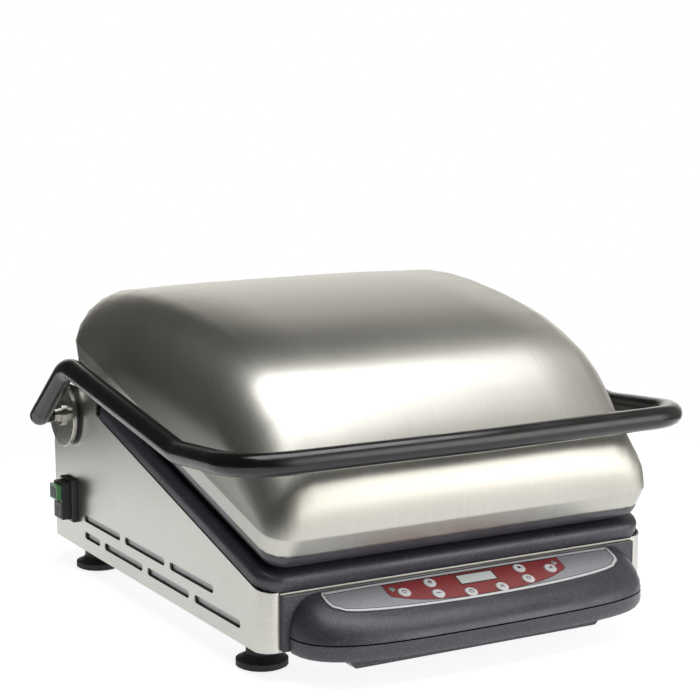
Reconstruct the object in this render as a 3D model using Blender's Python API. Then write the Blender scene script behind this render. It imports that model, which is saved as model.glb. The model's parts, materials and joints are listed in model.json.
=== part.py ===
"""Contact grill (panini press): sloped steel base, lift-up domed head, loop handle.

Metres, +Z up, front of the grill toward -Y, left side toward -X.
The origin is on the floor under the middle of the whole outline.
"""
import math

import bmesh
import bpy
from mathutils import Vector

# ---------------------------------------------------------------- driving dimensions
BODY_WIDTH = 0.430
BODY_DEPTH = 0.497
OUTLINE_OFFSET = 0.0285
BASE_Z = 0.028
RAIL_Z = 0.084
SLOPE = math.radians(14.7)
SHEET = 0.002
THIN_SHEET = 0.0015
GAP = 0.0003
CORNER_RADIUS = 0.0155
FLANGE_WIDTH = 0.018
EAR_RISE = 0.033
EAR_DEPTH = 0.120
EAR_RADIUS = 0.012
HINGE_INSET = 0.041
HINGE_DROP = 0.0316
SHAFT_RADIUS = 0.009
BEARING_WALL = 0.003
DISC_RADIUS = 0.036
DISC_THICK = 0.004
TUBE_RADIUS = 0.011
ARM_OFFSET = 0.0318
SLOT_START = 0.0979
SLOT_END = 0.0811
SLOT_HEIGHT = 0.0077
SLOT_GAP = 0.012
FOOT_RADIUS = 0.0248
FOOT_STEM_RADIUS = 0.0153
FOOT_INSET = 0.028
FRAME_HEIGHT = 0.015
RIM_BOTTOM = 0.0185
RIM_TOP = 0.0337
DOME_BOTTOM = 0.034
DOME_HEIGHT = 0.1385
DOME_INSET = 0.003
CREASE_HEIGHT = 0.052
DOME_EDGE_RADIUS = 0.062
REAR_EDGE_RADIUS = 0.042
DOME_CORNER_RADIUS = 0.024
DOME_SHEET = 0.002
RIB_PITCH = 0.0145
RIB_HEIGHT = 0.0034
PLATE_MARGIN = 0.0275
HEAD_PIN_RADIUS = 0.004
CONSOLE_INSET = 0.0243
CONSOLE_REACH = 0.0617
SEAM_Z = 0.0438
SEAM_GAP = 0.0014
PANEL_REVEAL = 0.0029
CONSOLE_TOP_Z = 0.080
FACE_TILT = math.atan(0.4)
DRAWER_BOTTOM_Z = 0.0265
PAN_INSET = 0.068
PAN_LENGTH = 0.290
KEY_RADIUS = 0.0062
KEY_GAP = 0.0003
KEY_ROW_GAP = 0.0044
KEY_ROWS_V = 0.0205
SPRING_WIRE = 0.0016
SPRING_CLEARANCE = 0.0016
SWITCH_HEIGHT = 0.046
SWITCH_WIDTH = 0.034
SWITCH_Z = 0.078
GLAND_RADIUS = 0.008

# ---------------------------------------------------------------- derived sizes
HALF = BODY_WIDTH / 2
FRONT_Y = OUTLINE_OFFSET - BODY_DEPTH / 2
REAR_Y = FRONT_Y + BODY_DEPTH
SLOT_LENGTH = (BODY_DEPTH - SLOT_START - SLOT_END - 2 * SLOT_GAP) / 3
SPRING_RADIUS = SHAFT_RADIUS + SPRING_CLEARANCE + SPRING_WIRE
KEY_HIGH_V = KEY_ROWS_V - KEY_RADIUS - KEY_ROW_GAP / 2
KEY_LOW_V = KEY_ROWS_V + KEY_RADIUS + KEY_ROW_GAP / 2
HINGE_Y = REAR_Y - HINGE_INSET
HINGE_Z = RAIL_Z + (HINGE_Y - FRONT_Y) * math.tan(SLOPE) - HINGE_DROP
EAR_TOP_Z = HINGE_Z + EAR_RISE
CONSOLE_HALF = HALF - CONSOLE_INSET
PAN_HALF = HALF - PAN_INSET
INNER = HALF - SHEET
FLANGE_END = HALF - FLANGE_WIDTH
COS_S = math.cos(SLOPE)
SIN_S = math.sin(SLOPE)


def to_deck(y, z):
    """Return (s, h) on the sloping deck for a point in the side view."""
    dy = y - FRONT_Y
    dz = z - RAIL_Z
    return dy * COS_S + dz * SIN_S, dz * COS_S - dy * SIN_S


def from_deck(s, h):
    """Return (y, z) in the side view for a point on the sloping deck."""
    return FRONT_Y + s * COS_S - h * SIN_S, RAIL_Z + s * SIN_S + h * COS_S


HINGE_S, HINGE_H = to_deck(HINGE_Y, HINGE_Z)
EAR_FRONT_Y = REAR_Y - EAR_DEPTH
DECK_END_S = to_deck(EAR_FRONT_Y - 0.005, RAIL_Z + (EAR_FRONT_Y - FRONT_Y) * math.tan(SLOPE))[0]
FRAME_FRONT_S = -0.001
FRAME_WALL = 0.0255
PANEL_TOP_Z = RAIL_Z - PANEL_REVEAL
HEAD_FRONT_S = 0.000
HEAD_REAR_S = HINGE_S + 0.0176
HEAD_LENGTH = HEAD_REAR_S - HEAD_FRONT_S
PLATE_HALF = HALF - PLATE_MARGIN
PLATE_FRONT_S = FRAME_FRONT_S + FRAME_WALL
PLATE_REAR_S = DECK_END_S - FRAME_WALL
PIN_S = HINGE_S - 0.0774
PIN_H = 0.064
ARM_X = HALF + ARM_OFFSET
LIFT_ORIGIN = (0.0, HINGE_Y, HINGE_Z)
HEAD_ORIGIN = (0.0, PIN_S, PIN_H)
CONSOLE_BACK_Y = FRONT_Y - 0.0068


def reset_scene():
    """Remove every object and unused mesh."""
    for obj in list(bpy.data.objects):
        bpy.data.objects.remove(obj, do_unlink=True)
    for mesh in list(bpy.data.meshes):
        bpy.data.meshes.remove(mesh)


def material(name, colour, roughness, metallic):
    """Create one Principled material."""
    mat = bpy.data.materials.new(name)
    mat.use_nodes = True
    bsdf = mat.node_tree.nodes["Principled BSDF"]
    bsdf.inputs["Base Color"].default_value = (*colour, 1.0)
    bsdf.inputs["Roughness"].default_value = roughness
    bsdf.inputs["Metallic"].default_value = metallic
    mat.diffuse_color = (*colour, 1.0)
    return mat


def finish(name, bm, look, origin=(0.0, 0.0, 0.0), parent=None, place=None, smooth=30.0):
    """Turn a bmesh into one placed object with its own material."""
    bmesh.ops.remove_doubles(bm, verts=bm.verts, dist=0.000001)
    bmesh.ops.recalc_face_normals(bm, faces=bm.faces)
    bmesh.ops.translate(bm, verts=bm.verts, vec=-Vector(origin))
    mesh = bpy.data.meshes.new(name)
    bm.to_mesh(mesh)
    bm.free()
    for face in mesh.polygons:
        face.use_smooth = smooth > 0
    if smooth > 0:
        mesh.set_sharp_from_angle(angle=math.radians(smooth))
    obj = bpy.data.objects.new(name, mesh)
    bpy.context.collection.objects.link(obj)
    if look is not None:
        mesh.materials.append(material(name + "_finish", *look))
    obj.parent = parent
    obj.location = place if place is not None else (origin if parent is None else (0, 0, 0))
    return obj


def axis_empty(name, location, tilt=0.0):
    """Empty that carries the pieces of one body or one tilted frame."""
    empty = bpy.data.objects.new(name, None)
    empty.empty_display_size = 0.02
    bpy.context.collection.objects.link(empty)
    empty.location = location
    empty.rotation_euler = (tilt, 0.0, 0.0)
    return empty


def boolean(target, tool, operation="DIFFERENCE"):
    """Add an exact Boolean and hide its tool object."""
    mod = target.modifiers.new("bool", "BOOLEAN")
    mod.operation = operation
    mod.solver = "EXACT"
    mod.object = tool
    tool.hide_render = True
    tool.display_type = "WIRE"
    return target


# ---------------------------------------------------------------- shape helpers
def loft(rings, loop=False):
    """Join equal rings of points into one closed solid."""
    bm = bmesh.new()
    grid = [[bm.verts.new(p) for p in ring] for ring in rings]
    count = len(rings)
    last = count if loop else count - 1
    size = len(rings[0])
    for i in range(last):
        a = grid[i]
        b = grid[(i + 1) % count]
        for j in range(size):
            k = (j + 1) % size
            bm.faces.new((a[j], a[k], b[k], b[j]))
    if not loop:
        bm.faces.new(list(reversed(grid[0])))
        bm.faces.new(grid[-1])
    return bm


def prism(profile, axis, low, high):
    """Extrude a closed outline along X, Y or Z."""
    if axis == "X":
        rings = [[(v, a, b) for a, b in profile] for v in (low, high)]
    elif axis == "Y":
        rings = [[(a, v, b) for a, b in profile] for v in (low, high)]
    else:
        rings = [[(a, b, v) for a, b in profile] for v in (low, high)]
    return loft(rings)


def box(x0, x1, y0, y1, z0, z1):
    """Axis-aligned block."""
    return prism([(x0, y0), (x1, y0), (x1, y1), (x0, y1)], "Z", z0, z1)


def merge(*parts):
    """Collect several bmeshes into one (disjoint cutters only)."""
    out = bmesh.new()
    for part in parts:
        mesh = bpy.data.meshes.new("piece")
        part.to_mesh(mesh)
        part.free()
        out.from_mesh(mesh)
        bpy.data.meshes.remove(mesh)
    return out


def arc(cx, cy, radius, start, end, steps):
    """Points along an arc, angles in degrees."""
    out = []
    for i in range(steps + 1):
        t = math.radians(start + (end - start) * i / steps)
        out.append((cx + radius * math.cos(t), cy + radius * math.sin(t)))
    return out


def rounded_rect(x0, x1, y0, y1, front, rear, steps=5):
    """Outline with separate front (low y) and rear corner radii."""
    front = max(front, 0.0004)
    rear = max(rear, 0.0004)
    pts = arc(x1 - front, y0 + front, front, -90, 0, steps)
    pts += arc(x1 - rear, y1 - rear, rear, 0, 90, steps)
    pts += arc(x0 + rear, y1 - rear, rear, 90, 180, steps)
    pts += arc(x0 + front, y0 + front, front, 180, 270, steps)
    return pts


def frame_loop(x_half, y0, y1, front, rear, section, steps=5):
    """Closed frame: the outline swept by a section of (inset, height) pairs."""
    rings = []
    for inset, height in section:
        pts = rounded_rect(-x_half + inset, x_half - inset, y0 + inset, y1 - inset,
                           front - inset, rear - inset, steps)
        rings.append([(x, y, height) for x, y in pts])
    return loft(rings, loop=True)


def turned(profile, axis, centre, sides, loop=False):
    """Turn (along, radius) pairs about an axis through centre."""
    cx, cy, cz = centre
    rings = []
    for along, radius in profile:
        ring = []
        for i in range(sides):
            t = 2 * math.pi * i / sides
            u = radius * math.cos(t)
            v = radius * math.sin(t)
            if axis == "X":
                ring.append((cx + along, cy + u, cz + v))
            elif axis == "Y":
                ring.append((cx + u, cy + along, cz + v))
            else:
                ring.append((cx + u, cy + v, cz + along))
        rings.append(ring)
    return loft(rings, loop)


def fillet_path(points, radii, steps):
    """Replace inner corners of a 3-D path with arcs."""
    pts = [Vector(p) for p in points]
    out = [pts[0]]
    for i in range(1, len(pts) - 1):
        into = (pts[i - 1] - pts[i]).normalized()
        away = (pts[i + 1] - pts[i]).normalized()
        angle = into.angle(away)
        reach = radii[i - 1] / math.tan(angle / 2)
        centre = pts[i] + (into + away).normalized() * (radii[i - 1] / math.sin(angle / 2))
        first = pts[i] + into * reach - centre
        last = pts[i] + away * reach - centre
        sweep = first.angle(last)
        for j in range(steps[i - 1] + 1):
            t = j / steps[i - 1]
            a = math.sin((1 - t) * sweep) / math.sin(sweep)
            b = math.sin(t * sweep) / math.sin(sweep)
            out.append(centre + first * a + last * b)
    out.append(pts[-1])
    return out


def tube(path, radius, sides):
    """Sweep a circle along a path without twisting."""
    pts = [Vector(p) for p in path]
    rings = []
    normal = None
    for i, point in enumerate(pts):
        before = pts[max(i - 1, 0)]
        after = pts[min(i + 1, len(pts) - 1)]
        tangent = (after - before).normalized()
        if normal is None:
            side = Vector((1, 0, 0)) if abs(tangent.x) < 0.8 else Vector((0, 0, 1))
            normal = (side - tangent * side.dot(tangent)).normalized()
        else:
            normal = (normal - tangent * normal.dot(tangent)).normalized()
        cross = tangent.cross(normal)
        ring = []
        for k in range(sides):
            t = 2 * math.pi * k / sides
            ring.append(point + normal * (radius * math.cos(t)) + cross * (radius * math.sin(t)))
        rings.append(ring)
    return loft(rings)


# ---------------------------------------------------------------- finishes
STEEL = ((0.58, 0.57, 0.54), 0.32, 1.0)
DARK_TEXTURE = ((0.055, 0.056, 0.064), 0.55, 0.0)
DARK_SATIN = ((0.045, 0.045, 0.055), 0.40, 0.0)
BLACK = ((0.012, 0.013, 0.015), 0.45, 0.0)
RUBBER = ((0.010, 0.010, 0.011), 0.80, 0.0)
IRON = ((0.030, 0.030, 0.032), 0.60, 0.4)
ELEMENT = ((0.16, 0.15, 0.14), 0.50, 1.0)
SILVER = ((0.48, 0.48, 0.50), 0.45, 0.0)
GREEN = ((0.04, 0.22, 0.07), 0.40, 0.0)
BOARD = ((0.03, 0.16, 0.07), 0.55, 0.0)
GLASS = ((0.62, 0.66, 0.63), 0.20, 0.0)
SPRING = ((0.35, 0.35, 0.36), 0.35, 1.0)


# ---------------------------------------------------------------- base sheet metal
def panel_plan(sign):
    """Plan outline of one side sheet with its rounded front corner and flange."""
    r = CORNER_RADIUS
    outer = [(HALF, REAR_Y)]
    outer += [(x, y) for x, y in reversed(arc(HALF - r, FRONT_Y + r, r, -90, 0, 6))]
    outer += [(FLANGE_END, FRONT_Y), (FLANGE_END, FRONT_Y + SHEET)]
    inner = arc(HALF - r, FRONT_Y + r, r - SHEET, -90, 0, 6)
    return [(sign * x, y) for x, y in outer + inner + [(INNER, REAR_Y)]]


def panel_side_shape():
    """Side silhouette that trims the sheet: slope, hinge ear and square foot."""
    lift = math.tan(SLOPE)
    front_z = RAIL_Z - GAP - 0.002 * lift
    low_y = FRONT_Y - 0.002
    notch_y = EAR_FRONT_Y
    notch_z = RAIL_Z - GAP + (notch_y - FRONT_Y) * lift
    r = EAR_RADIUS
    pts = [(low_y, BASE_Z), (REAR_Y, BASE_Z)]
    pts += arc(REAR_Y - r, EAR_TOP_Z - r, r, 0, 90, 5)
    pts += arc(notch_y + r, EAR_TOP_Z - r, r, 90, 180, 5)
    pts += [(notch_y, notch_z), (low_y, front_z)]
    return pts


def slot_shape(y0, y1, z):
    """Rounded vent slot outline in the side view."""
    r = SLOT_HEIGHT / 2
    pts = arc(y1 - r, z, r, -90, 90, 6)
    pts += arc(y0 + r, z, r, 90, 270, 6)
    return pts


def slot_rows():
    """Front and rear y of each vent slot with its height."""
    pitch = SLOT_LENGTH + SLOT_GAP
    rows = []
    high_z = BASE_Z + 0.0362
    low_z = BASE_Z + 0.0176
    first_high = FRONT_Y + SLOT_START
    first_low = first_high - pitch / 2 - 0.001
    for i in range(3):
        rows.append((first_high + i * pitch, first_high + i * pitch + SLOT_LENGTH, high_z))
        rows.append((first_low + i * pitch, first_low + i * pitch + SLOT_LENGTH, low_z))
    short = first_low + 3 * pitch
    rows.append((short, short + SLOT_LENGTH * 0.43, low_z))
    return rows


def build_side_panel(name, sign):
    """One wrap-round side sheet with slots and hinge hole."""
    obj = finish(name, prism(panel_plan(sign), "Z", BASE_Z, EAR_TOP_Z), STEEL)
    inside = sign * (HALF - FLANGE_WIDTH - 0.004)
    outside = sign * (HALF + 0.002)
    low, high = sorted((inside, outside))
    boolean(obj, finish(name + "_trim", prism(panel_side_shape(), "X", low, high), None),
            "INTERSECT")
    low, high = sorted((sign * (INNER - 0.003), outside))
    cuts = [prism(slot_shape(*row), "X", low, high) for row in slot_rows()]
    hole = SHAFT_RADIUS + BEARING_WALL + GAP
    cuts.append(turned([(low, hole), (high, hole)], "X", (0, HINGE_Y, HINGE_Z), 24))
    if sign < 0:
        wide = SWITCH_WIDTH / 2 - 0.007 + GAP
        tall = SWITCH_HEIGHT / 2 - 0.005 + GAP
        y = switch_centre_y()
        cuts.append(box(low, high, y - wide, y + wide, SWITCH_Z - tall, SWITCH_Z + tall))
    boolean(obj, finish(name + "_cuts", merge(*cuts), None, smooth=0))
    return obj


def build_cross_rail():
    """Front sheet between the flanges with the bright lip under the frame."""
    lip = RAIL_Z - 0.0008
    pts = [(FRONT_Y + SHEET, BASE_Z), (FRONT_Y + SHEET, lip), (FRONT_Y - 0.0015, lip),
           (FRONT_Y - 0.0015, lip - 0.0014), (FRONT_Y, lip - 0.0018), (FRONT_Y, BASE_Z)]
    half = FLANGE_END - GAP
    obj = finish("front_cross_rail", prism(pts, "X", -half, half), STEEL, smooth=0)
    cut = box(-PAN_HALF - 0.002, PAN_HALF + 0.002, FRONT_Y - 0.004, FRONT_Y + 0.005,
              BASE_Z + 0.0024, SEAM_Z - 0.0003)
    boolean(obj, finish("rail_cut", cut, None, smooth=0))
    return obj


def build_front_panel():
    """Dark plate behind the console with the drawer mouth."""
    half = FLANGE_END - 0.001
    pts = rounded_rect(-half, half, FRONT_Y - 0.0065, FRONT_Y - GAP, 0.002, 0.0005, 3)
    bm = prism(pts, "Z", BASE_Z + 0.002, PANEL_TOP_Z)
    obj = finish("front_panel", bm, DARK_TEXTURE)
    cut = box(-PAN_HALF - 0.002, PAN_HALF + 0.002, FRONT_Y - 0.012, FRONT_Y + 0.004,
              BASE_Z + 0.0028, SEAM_Z - 0.0005)
    boolean(obj, finish("panel_mouth", cut, None, smooth=0))
    return obj


def build_closing_sheets():
    """Bottom, rear and sloping trough sheets."""
    side = INNER - GAP
    bottom = box(-side, side, FRONT_Y + CORNER_RADIUS + GAP, REAR_Y - 0.0026, BASE_Z + GAP,
                 BASE_Z + GAP + THIN_SHEET)
    finish("bottom_plate", bottom, STEEL, smooth=0)
    trough_z = HINGE_Z - SHAFT_RADIUS - 0.013
    rear = box(-side, side, REAR_Y - 0.0018, REAR_Y - GAP, BASE_Z + 0.0002,
               trough_z - THIN_SHEET - GAP)
    rear_obj = finish("rear_panel", rear, STEEL, smooth=0)
    hole = GLAND_RADIUS + GAP
    cut = turned([(-0.01, hole), (0.01, hole)], "Y", (gland_x(), REAR_Y, gland_z()), 20)
    vents = [box(x - 0.002, x + 0.002, REAR_Y - 0.01, REAR_Y + 0.01, BASE_Z + 0.035,
                 BASE_Z + 0.075) for x in [-0.10 + 0.016 * i for i in range(9)]]
    boolean(rear_obj, finish("rear_cuts", merge(cut, *vents), None, smooth=0))
    lead_y = EAR_FRONT_Y - 0.001
    lead_z = RAIL_Z + (lead_y - FRONT_Y) * math.tan(SLOPE) - 0.0025
    pts = [(lead_y, lead_z), (lead_y, trough_z - THIN_SHEET), (REAR_Y - GAP, trough_z - THIN_SHEET),
           (REAR_Y - GAP, trough_z), (lead_y + THIN_SHEET, trough_z), (lead_y + THIN_SHEET, lead_z)]
    finish("rear_deck", prism(pts, "X", -side, side), STEEL, smooth=0)


def gland_x():
    """Cable entry position across the rear panel."""
    return HALF - 0.065


def gland_z():
    """Cable entry height."""
    return BASE_Z + 0.032


def build_gland():
    """Cable entry through the rear panel."""
    r = GLAND_RADIUS
    prof = [(-0.008, r), (GAP, r), (GAP, r + 0.005), (0.005, r + 0.005), (0.006, r + 0.004),
            (0.006, r), (0.012, r - 0.001)]
    bm = turned(prof, "Y", (gland_x(), REAR_Y, gland_z()), 18)
    finish("cable_gland", bm, BLACK)


def build_feet():
    """Four rubber feet under the side sheets."""
    r = FOOT_RADIUS
    s = FOOT_STEM_RADIUS
    prof = [(0.0, r - 0.003), (0.0015, r), (0.007, r), (0.0095, r - 0.006), (0.013, s),
            (BASE_Z - GAP, s)]
    x = HALF - FOOT_INSET
    for name, side, y in (("foot_front_left", -1, FRONT_Y + 0.054),
                          ("foot_front_right", 1, FRONT_Y + 0.054),
                          ("foot_rear_left", -1, REAR_Y - 0.053),
                          ("foot_rear_right", 1, REAR_Y - 0.053)):
        centre = (side * x, y, 0.0)
        finish(name, turned(prof, "Z", centre, 20), RUBBER, origin=centre)


# ---------------------------------------------------------------- lower cooking unit
def build_lower_frame(deck):
    """Dark surround resting on the sloping top edges."""
    wall = FRAME_WALL - 0.0005
    top = FRAME_HEIGHT
    section = [(0.0, 0.0), (0.0, top - 0.0075), (0.0006, top - 0.0046), (0.0022, top - 0.0022),
               (0.0046, top - 0.0006), (0.0075, top), (wall - 0.002, top), (wall, top - 0.002),
               (wall, 0.0)]
    bm = frame_loop(HALF - 0.001, FRAME_FRONT_S, DECK_END_S, 0.024, 0.004, section)
    finish("lower_frame", bm, DARK_TEXTURE, parent=deck)


def rib_profile(half, base, low, high, flip):
    """Cross-section of a ribbed plate: flat back, ribs on one side."""
    count = int((2 * half - 0.010) / RIB_PITCH)
    start = -count * RIB_PITCH / 2
    pts = [(-half, base), (-half, low)]
    for i in range(count):
        x = start + i * RIB_PITCH
        pts += [(x + 0.0038, low), (x + 0.0052, high), (x + 0.0093, high), (x + 0.0107, low)]
    pts += [(half, low), (half, base)]
    return pts if flip else list(reversed(pts))


def build_lower_plate(deck):
    """Ribbed lower plate with front gutter and drain hole."""
    top = 0.0132
    pts = rib_profile(PLATE_HALF, 0.002, top, top + RIB_HEIGHT, True)
    obj = finish("lower_grill_plate", prism(pts, "Y", PLATE_FRONT_S + GAP, PLATE_REAR_S - GAP),
                 IRON, parent=deck, smooth=0)
    gutter = box(-PLATE_HALF + 0.006, PLATE_HALF - 0.006, PLATE_FRONT_S + 0.005,
                 PLATE_FRONT_S + 0.018, top - 0.005, top + 0.010)
    drain = turned([(-0.01, 0.005), (top - 0.006, 0.005)], "Z", (0, PLATE_FRONT_S + 0.0115, 0), 16)
    cut = finish("gutter_cut", gutter, None, parent=deck, smooth=0)
    hole = finish("drain_cut", merge(drain, box(-0.004, 0.004, -1, -0.99, -1, -0.99)), None,
                  parent=deck, smooth=0)
    boolean(obj, cut)
    boolean(obj, hole)


def build_drain_chute(deck):
    """Sleeve that drops grease from the gutter to the pan."""
    prof = [(0.0016, 0.009), (-0.001, 0.009), (-0.004, 0.0070), (-0.030, 0.0070),
            (-0.030, 0.0055), (0.0016, 0.0055)]
    bm = turned(prof, "Z", (0, PLATE_FRONT_S + 0.0115, 0), 16, loop=True)
    finish("drain_chute", bm, ELEMENT, parent=deck)


def serpentine(half, s0, s1, h, runs):
    """Centre line of a folded heating element."""
    step = 2 * half / (runs - 1)
    pts = [(-half, s0 - 0.012, h)]
    for i in range(runs):
        x = -half + i * step
        ends = (s0, s1) if i % 2 == 0 else (s1, s0)
        if i > 0:
            pts.append((x, ends[0], h))
        if i < runs - 1:
            pts.append((x, ends[1], h))
    pts.append((half, s0 - 0.012 if runs % 2 == 0 else s1 + 0.012, h))
    return fillet_path(pts, [0.018] * (len(pts) - 2), [3] * (len(pts) - 2))


def build_lower_heat(deck):
    """Folded element and heat shield under the lower plate."""
    s0 = PLATE_FRONT_S + 0.050
    s1 = PLATE_REAR_S - 0.030
    path = serpentine(PLATE_HALF - 0.035, s0, s1, -0.0025, 6)
    finish("lower_heating_element", tube(path, 0.0032, 5), ELEMENT, parent=deck)
    side = INNER - GAP
    shield = box(-side, side, s0 - 0.010, DECK_END_S - 0.010, -0.0215, -0.020)
    finish("lower_heat_shield", shield, STEEL, parent=deck, smooth=0)


# ---------------------------------------------------------------- console and drawer
def face_z(y):
    """Height of the tilted console face at y."""
    return CONSOLE_TOP_Z + (y - (FRONT_Y - 0.007)) * math.tan(FACE_TILT)


def console_plan(trim, back, steps):
    """Bowed plan outline from the left rear end round to the right rear end."""
    half = CONSOLE_HALF - trim
    reach = CONSOLE_REACH - trim
    pts = []
    for i in range(steps + 1):
        x = -math.cos(math.pi * i / steps)
        bow = (1 - abs(x) ** 6) ** (1 / 2.3) * (1 - 0.11 * x * x)
        pts.append((half * x, back - reach * bow))
    return pts


def console_ring(plan, back, inset, z_of):
    """Move a plan outline inward and lift it to a height."""
    ring = []
    count = len(plan)
    for i, (x, y) in enumerate(plan):
        ax, ay = plan[max(i - 1, 0)]
        bx, by = plan[min(i + 1, count - 1)]
        dx, dy = bx - ax, by - ay
        size = math.hypot(dx, dy)
        nx, ny = -dy / size, dx / size
        if i in (0, count - 1):
            nx, ny = (1.0 if i == 0 else -1.0), 0.0
        blend = 0.021 + 0.004 * abs(nx)
        px = x + nx * inset * blend
        py = min(y + ny * inset * blend, back)
        ring.append((px, py, z_of(py)))
    return ring


def console_upper(trim, back, low, drop):
    """Solid of the upper console: bowed walls under a tilted face."""
    plan = console_plan(trim, back, 22)
    rings = []
    for step in range(6):
        t = math.radians(18 * step)
        share = math.sin(t)
        inset = 1 - math.cos(t)
        rings.append(console_ring(plan, back, inset,
                                  lambda y, k=share: SEAM_Z + (face_z(y) - drop - SEAM_Z) * k))
    if low < SEAM_Z:
        rings.insert(0, [(x, y, low) for x, y in plan])
    return loft(rings)


def face_frame():
    """Empty on the tilted console face."""
    return axis_empty("console_face", (0.0, FRONT_Y - 0.007, CONSOLE_TOP_Z), FACE_TILT)


KEY_LAYOUT = ((-0.0814, 0.0193), (-0.0500, KEY_HIGH_V), (-0.0500, KEY_LOW_V), (-0.0172, 0.0339),
              (0.0172, 0.0339), (0.0500, KEY_HIGH_V), (0.0500, KEY_LOW_V), (0.0814, 0.0193))
LED_LAYOUT = ((-0.0905, 0.0120), (0.0905, 0.0120))


def build_console(face):
    """Upper console shell with key holes."""
    obj = finish("console_housing", console_upper(0.0, CONSOLE_BACK_Y, SEAM_Z, 0.0), DARK_TEXTURE,
                 smooth=40)
    inner = console_upper(0.0026, CONSOLE_BACK_Y + 0.0012, SEAM_Z - 0.003, 0.0026)
    boolean(obj, finish("console_hollow", inner, None, smooth=0))
    reach = KEY_RADIUS + KEY_GAP
    cuts = [turned([(-0.008, reach), (0.006, reach)], "Z", (x, -v, 0), 14) for x, v in KEY_LAYOUT]
    boolean(obj, finish("key_holes", merge(*cuts), None, parent=face, smooth=0))
    return obj


def overlay_plan():
    """Outline of the keypad overlay: straight top, smile-shaped lower edge."""
    half = 0.1585
    pts = [(-half, -0.0005), (half, -0.0005), (half + 0.0022, -0.004), (half + 0.0024, -0.016),
           (half + 0.0002, -0.0235), (half - 0.006, -0.0275)]
    for i in range(1, 14):
        x = (half - 0.006) * math.cos(math.pi * i / 14)
        pts.append((x, -0.0275 - 0.0150 * math.sin(math.pi * i / 14)))
    pts += [(-half + 0.006, -0.0275), (-half - 0.0002, -0.0235), (-half - 0.0024, -0.016),
            (-half - 0.0022, -0.004)]
    return list(reversed(pts))


def build_keypad(face):
    """Overlay, window, lamps, board and the eight keys."""
    low = GAP
    obj = finish("keypad_overlay", prism(overlay_plan(), "Z", low, low + 0.0006), SILVER,
                 parent=face, smooth=0)
    reach = KEY_RADIUS + KEY_GAP
    cuts = [turned([(-0.002, reach), (0.004, reach)], "Z", (x, -v, 0), 14) for x, v in KEY_LAYOUT]
    cuts += [turned([(-0.002, 0.0034), (0.004, 0.0034)], "Z", (x, -v, 0), 10)
             for x, v in LED_LAYOUT]
    cuts.append(box(-0.0198, 0.0198, -0.0210, -0.0080, -0.002, 0.004))
    boolean(obj, finish("overlay_cuts", merge(*cuts), None, parent=face, smooth=0))
    window = box(-0.0195, 0.0195, -0.0207, -0.0083, low, low + 0.0008)
    finish("lcd_window", window, GLASS, parent=face, smooth=0)
    for name, (x, v) in zip(("led_left", "led_right"), LED_LAYOUT):
        prof = [(low, 0.0031), (low + 0.0006, 0.0031), (low + 0.0011, 0.0020)]
        finish(name, turned(prof, "Z", (x, -v, 0), 10), GLASS, parent=face)
    board = box(-0.105, 0.105, -0.0410, -0.0060, -0.0072, -0.0056)
    finish("control_board", board, BOARD, parent=face, smooth=0)
    r = KEY_RADIUS
    prof = [(-0.0043, r + 0.0014), (-0.0030, r + 0.0014), (-0.0030, r), (0.0015, r),
            (0.0020, r - 0.0006)]
    for i, (x, v) in enumerate(KEY_LAYOUT):
        finish(f"key_{i + 1}", turned(prof, "Z", (0, 0, 0), 14), SILVER, parent=face,
               place=(x, -v, 0.0))


def build_drawer():
    """Drawer front with its keel, and the grease pan behind it."""
    plan = console_plan(0.0, CONSOLE_BACK_Y, 26)
    top = SEAM_Z - SEAM_GAP
    low = DRAWER_BOTTOM_Z
    rings = []
    for inset, z in ((0.34, low), (0.12, low + 0.0012), (0.03, low + 0.0042), (0.0, low + 0.008),
                     (0.0, top)):
        rings.append(console_ring(plan, CONSOLE_BACK_Y, inset, lambda y, k=z: k))
    obj = finish("drawer_front", loft(rings), DARK_TEXTURE, smooth=40)
    hollow = [(x, y, z) for x, y, z in console_ring(
        console_plan(0.003, CONSOLE_BACK_Y - 0.003, 26), CONSOLE_BACK_Y - 0.003, 0.0,
        lambda y: top + 0.002)]
    floor = [(x, y, low + 0.004) for x, y, z in console_ring(
        console_plan(0.006, CONSOLE_BACK_Y - 0.003, 26), CONSOLE_BACK_Y - 0.003, 0.0,
        lambda y: low)]
    boolean(obj, finish("drawer_hollow", loft([floor, hollow]), None, smooth=0))
    y = FRONT_Y - 0.020
    deep = 0.010
    rings = []
    for half, wide, z in ((0.131, deep - 0.004, 0.0100), (0.134, deep - 0.002, 0.0110),
                          (0.150, deep, low + 0.0015)):
        rings.append([(-half, y - wide, z), (half, y - wide, z), (half, y + deep, z),
                      (-half, y + deep, z)])
    boolean(obj, finish("drawer_keel", loft(rings), None, smooth=0), "UNION")
    p = PAN_HALF
    y0 = CONSOLE_BACK_Y + GAP
    z0 = BASE_Z + 0.0034
    z1 = SEAM_Z - 0.0013
    pan = finish("grease_pan", box(-p, p, y0, FRONT_Y + PAN_LENGTH, z0, z1), STEEL, smooth=0)
    well = box(-p + 0.0012, p - 0.0012, y0 + 0.0012, FRONT_Y + PAN_LENGTH - 0.0012, z0 + 0.0012,
               z1 + 0.004)
    boolean(pan, finish("pan_well", well, None, smooth=0))


# ---------------------------------------------------------------- power switch
def switch_centre_y():
    """Middle of the switch along the left side."""
    return REAR_Y - 0.046


def stepped_x(steps, y, z):
    """Block made of rectangles stacked along X: (x, half width, half height)."""
    rings = []
    for x, wide, tall in steps:
        rings.append([(x, y - wide, z - tall), (x, y + wide, z - tall), (x, y + wide, z + tall),
                      (x, y - wide, z + tall)])
    return loft(rings)


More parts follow.
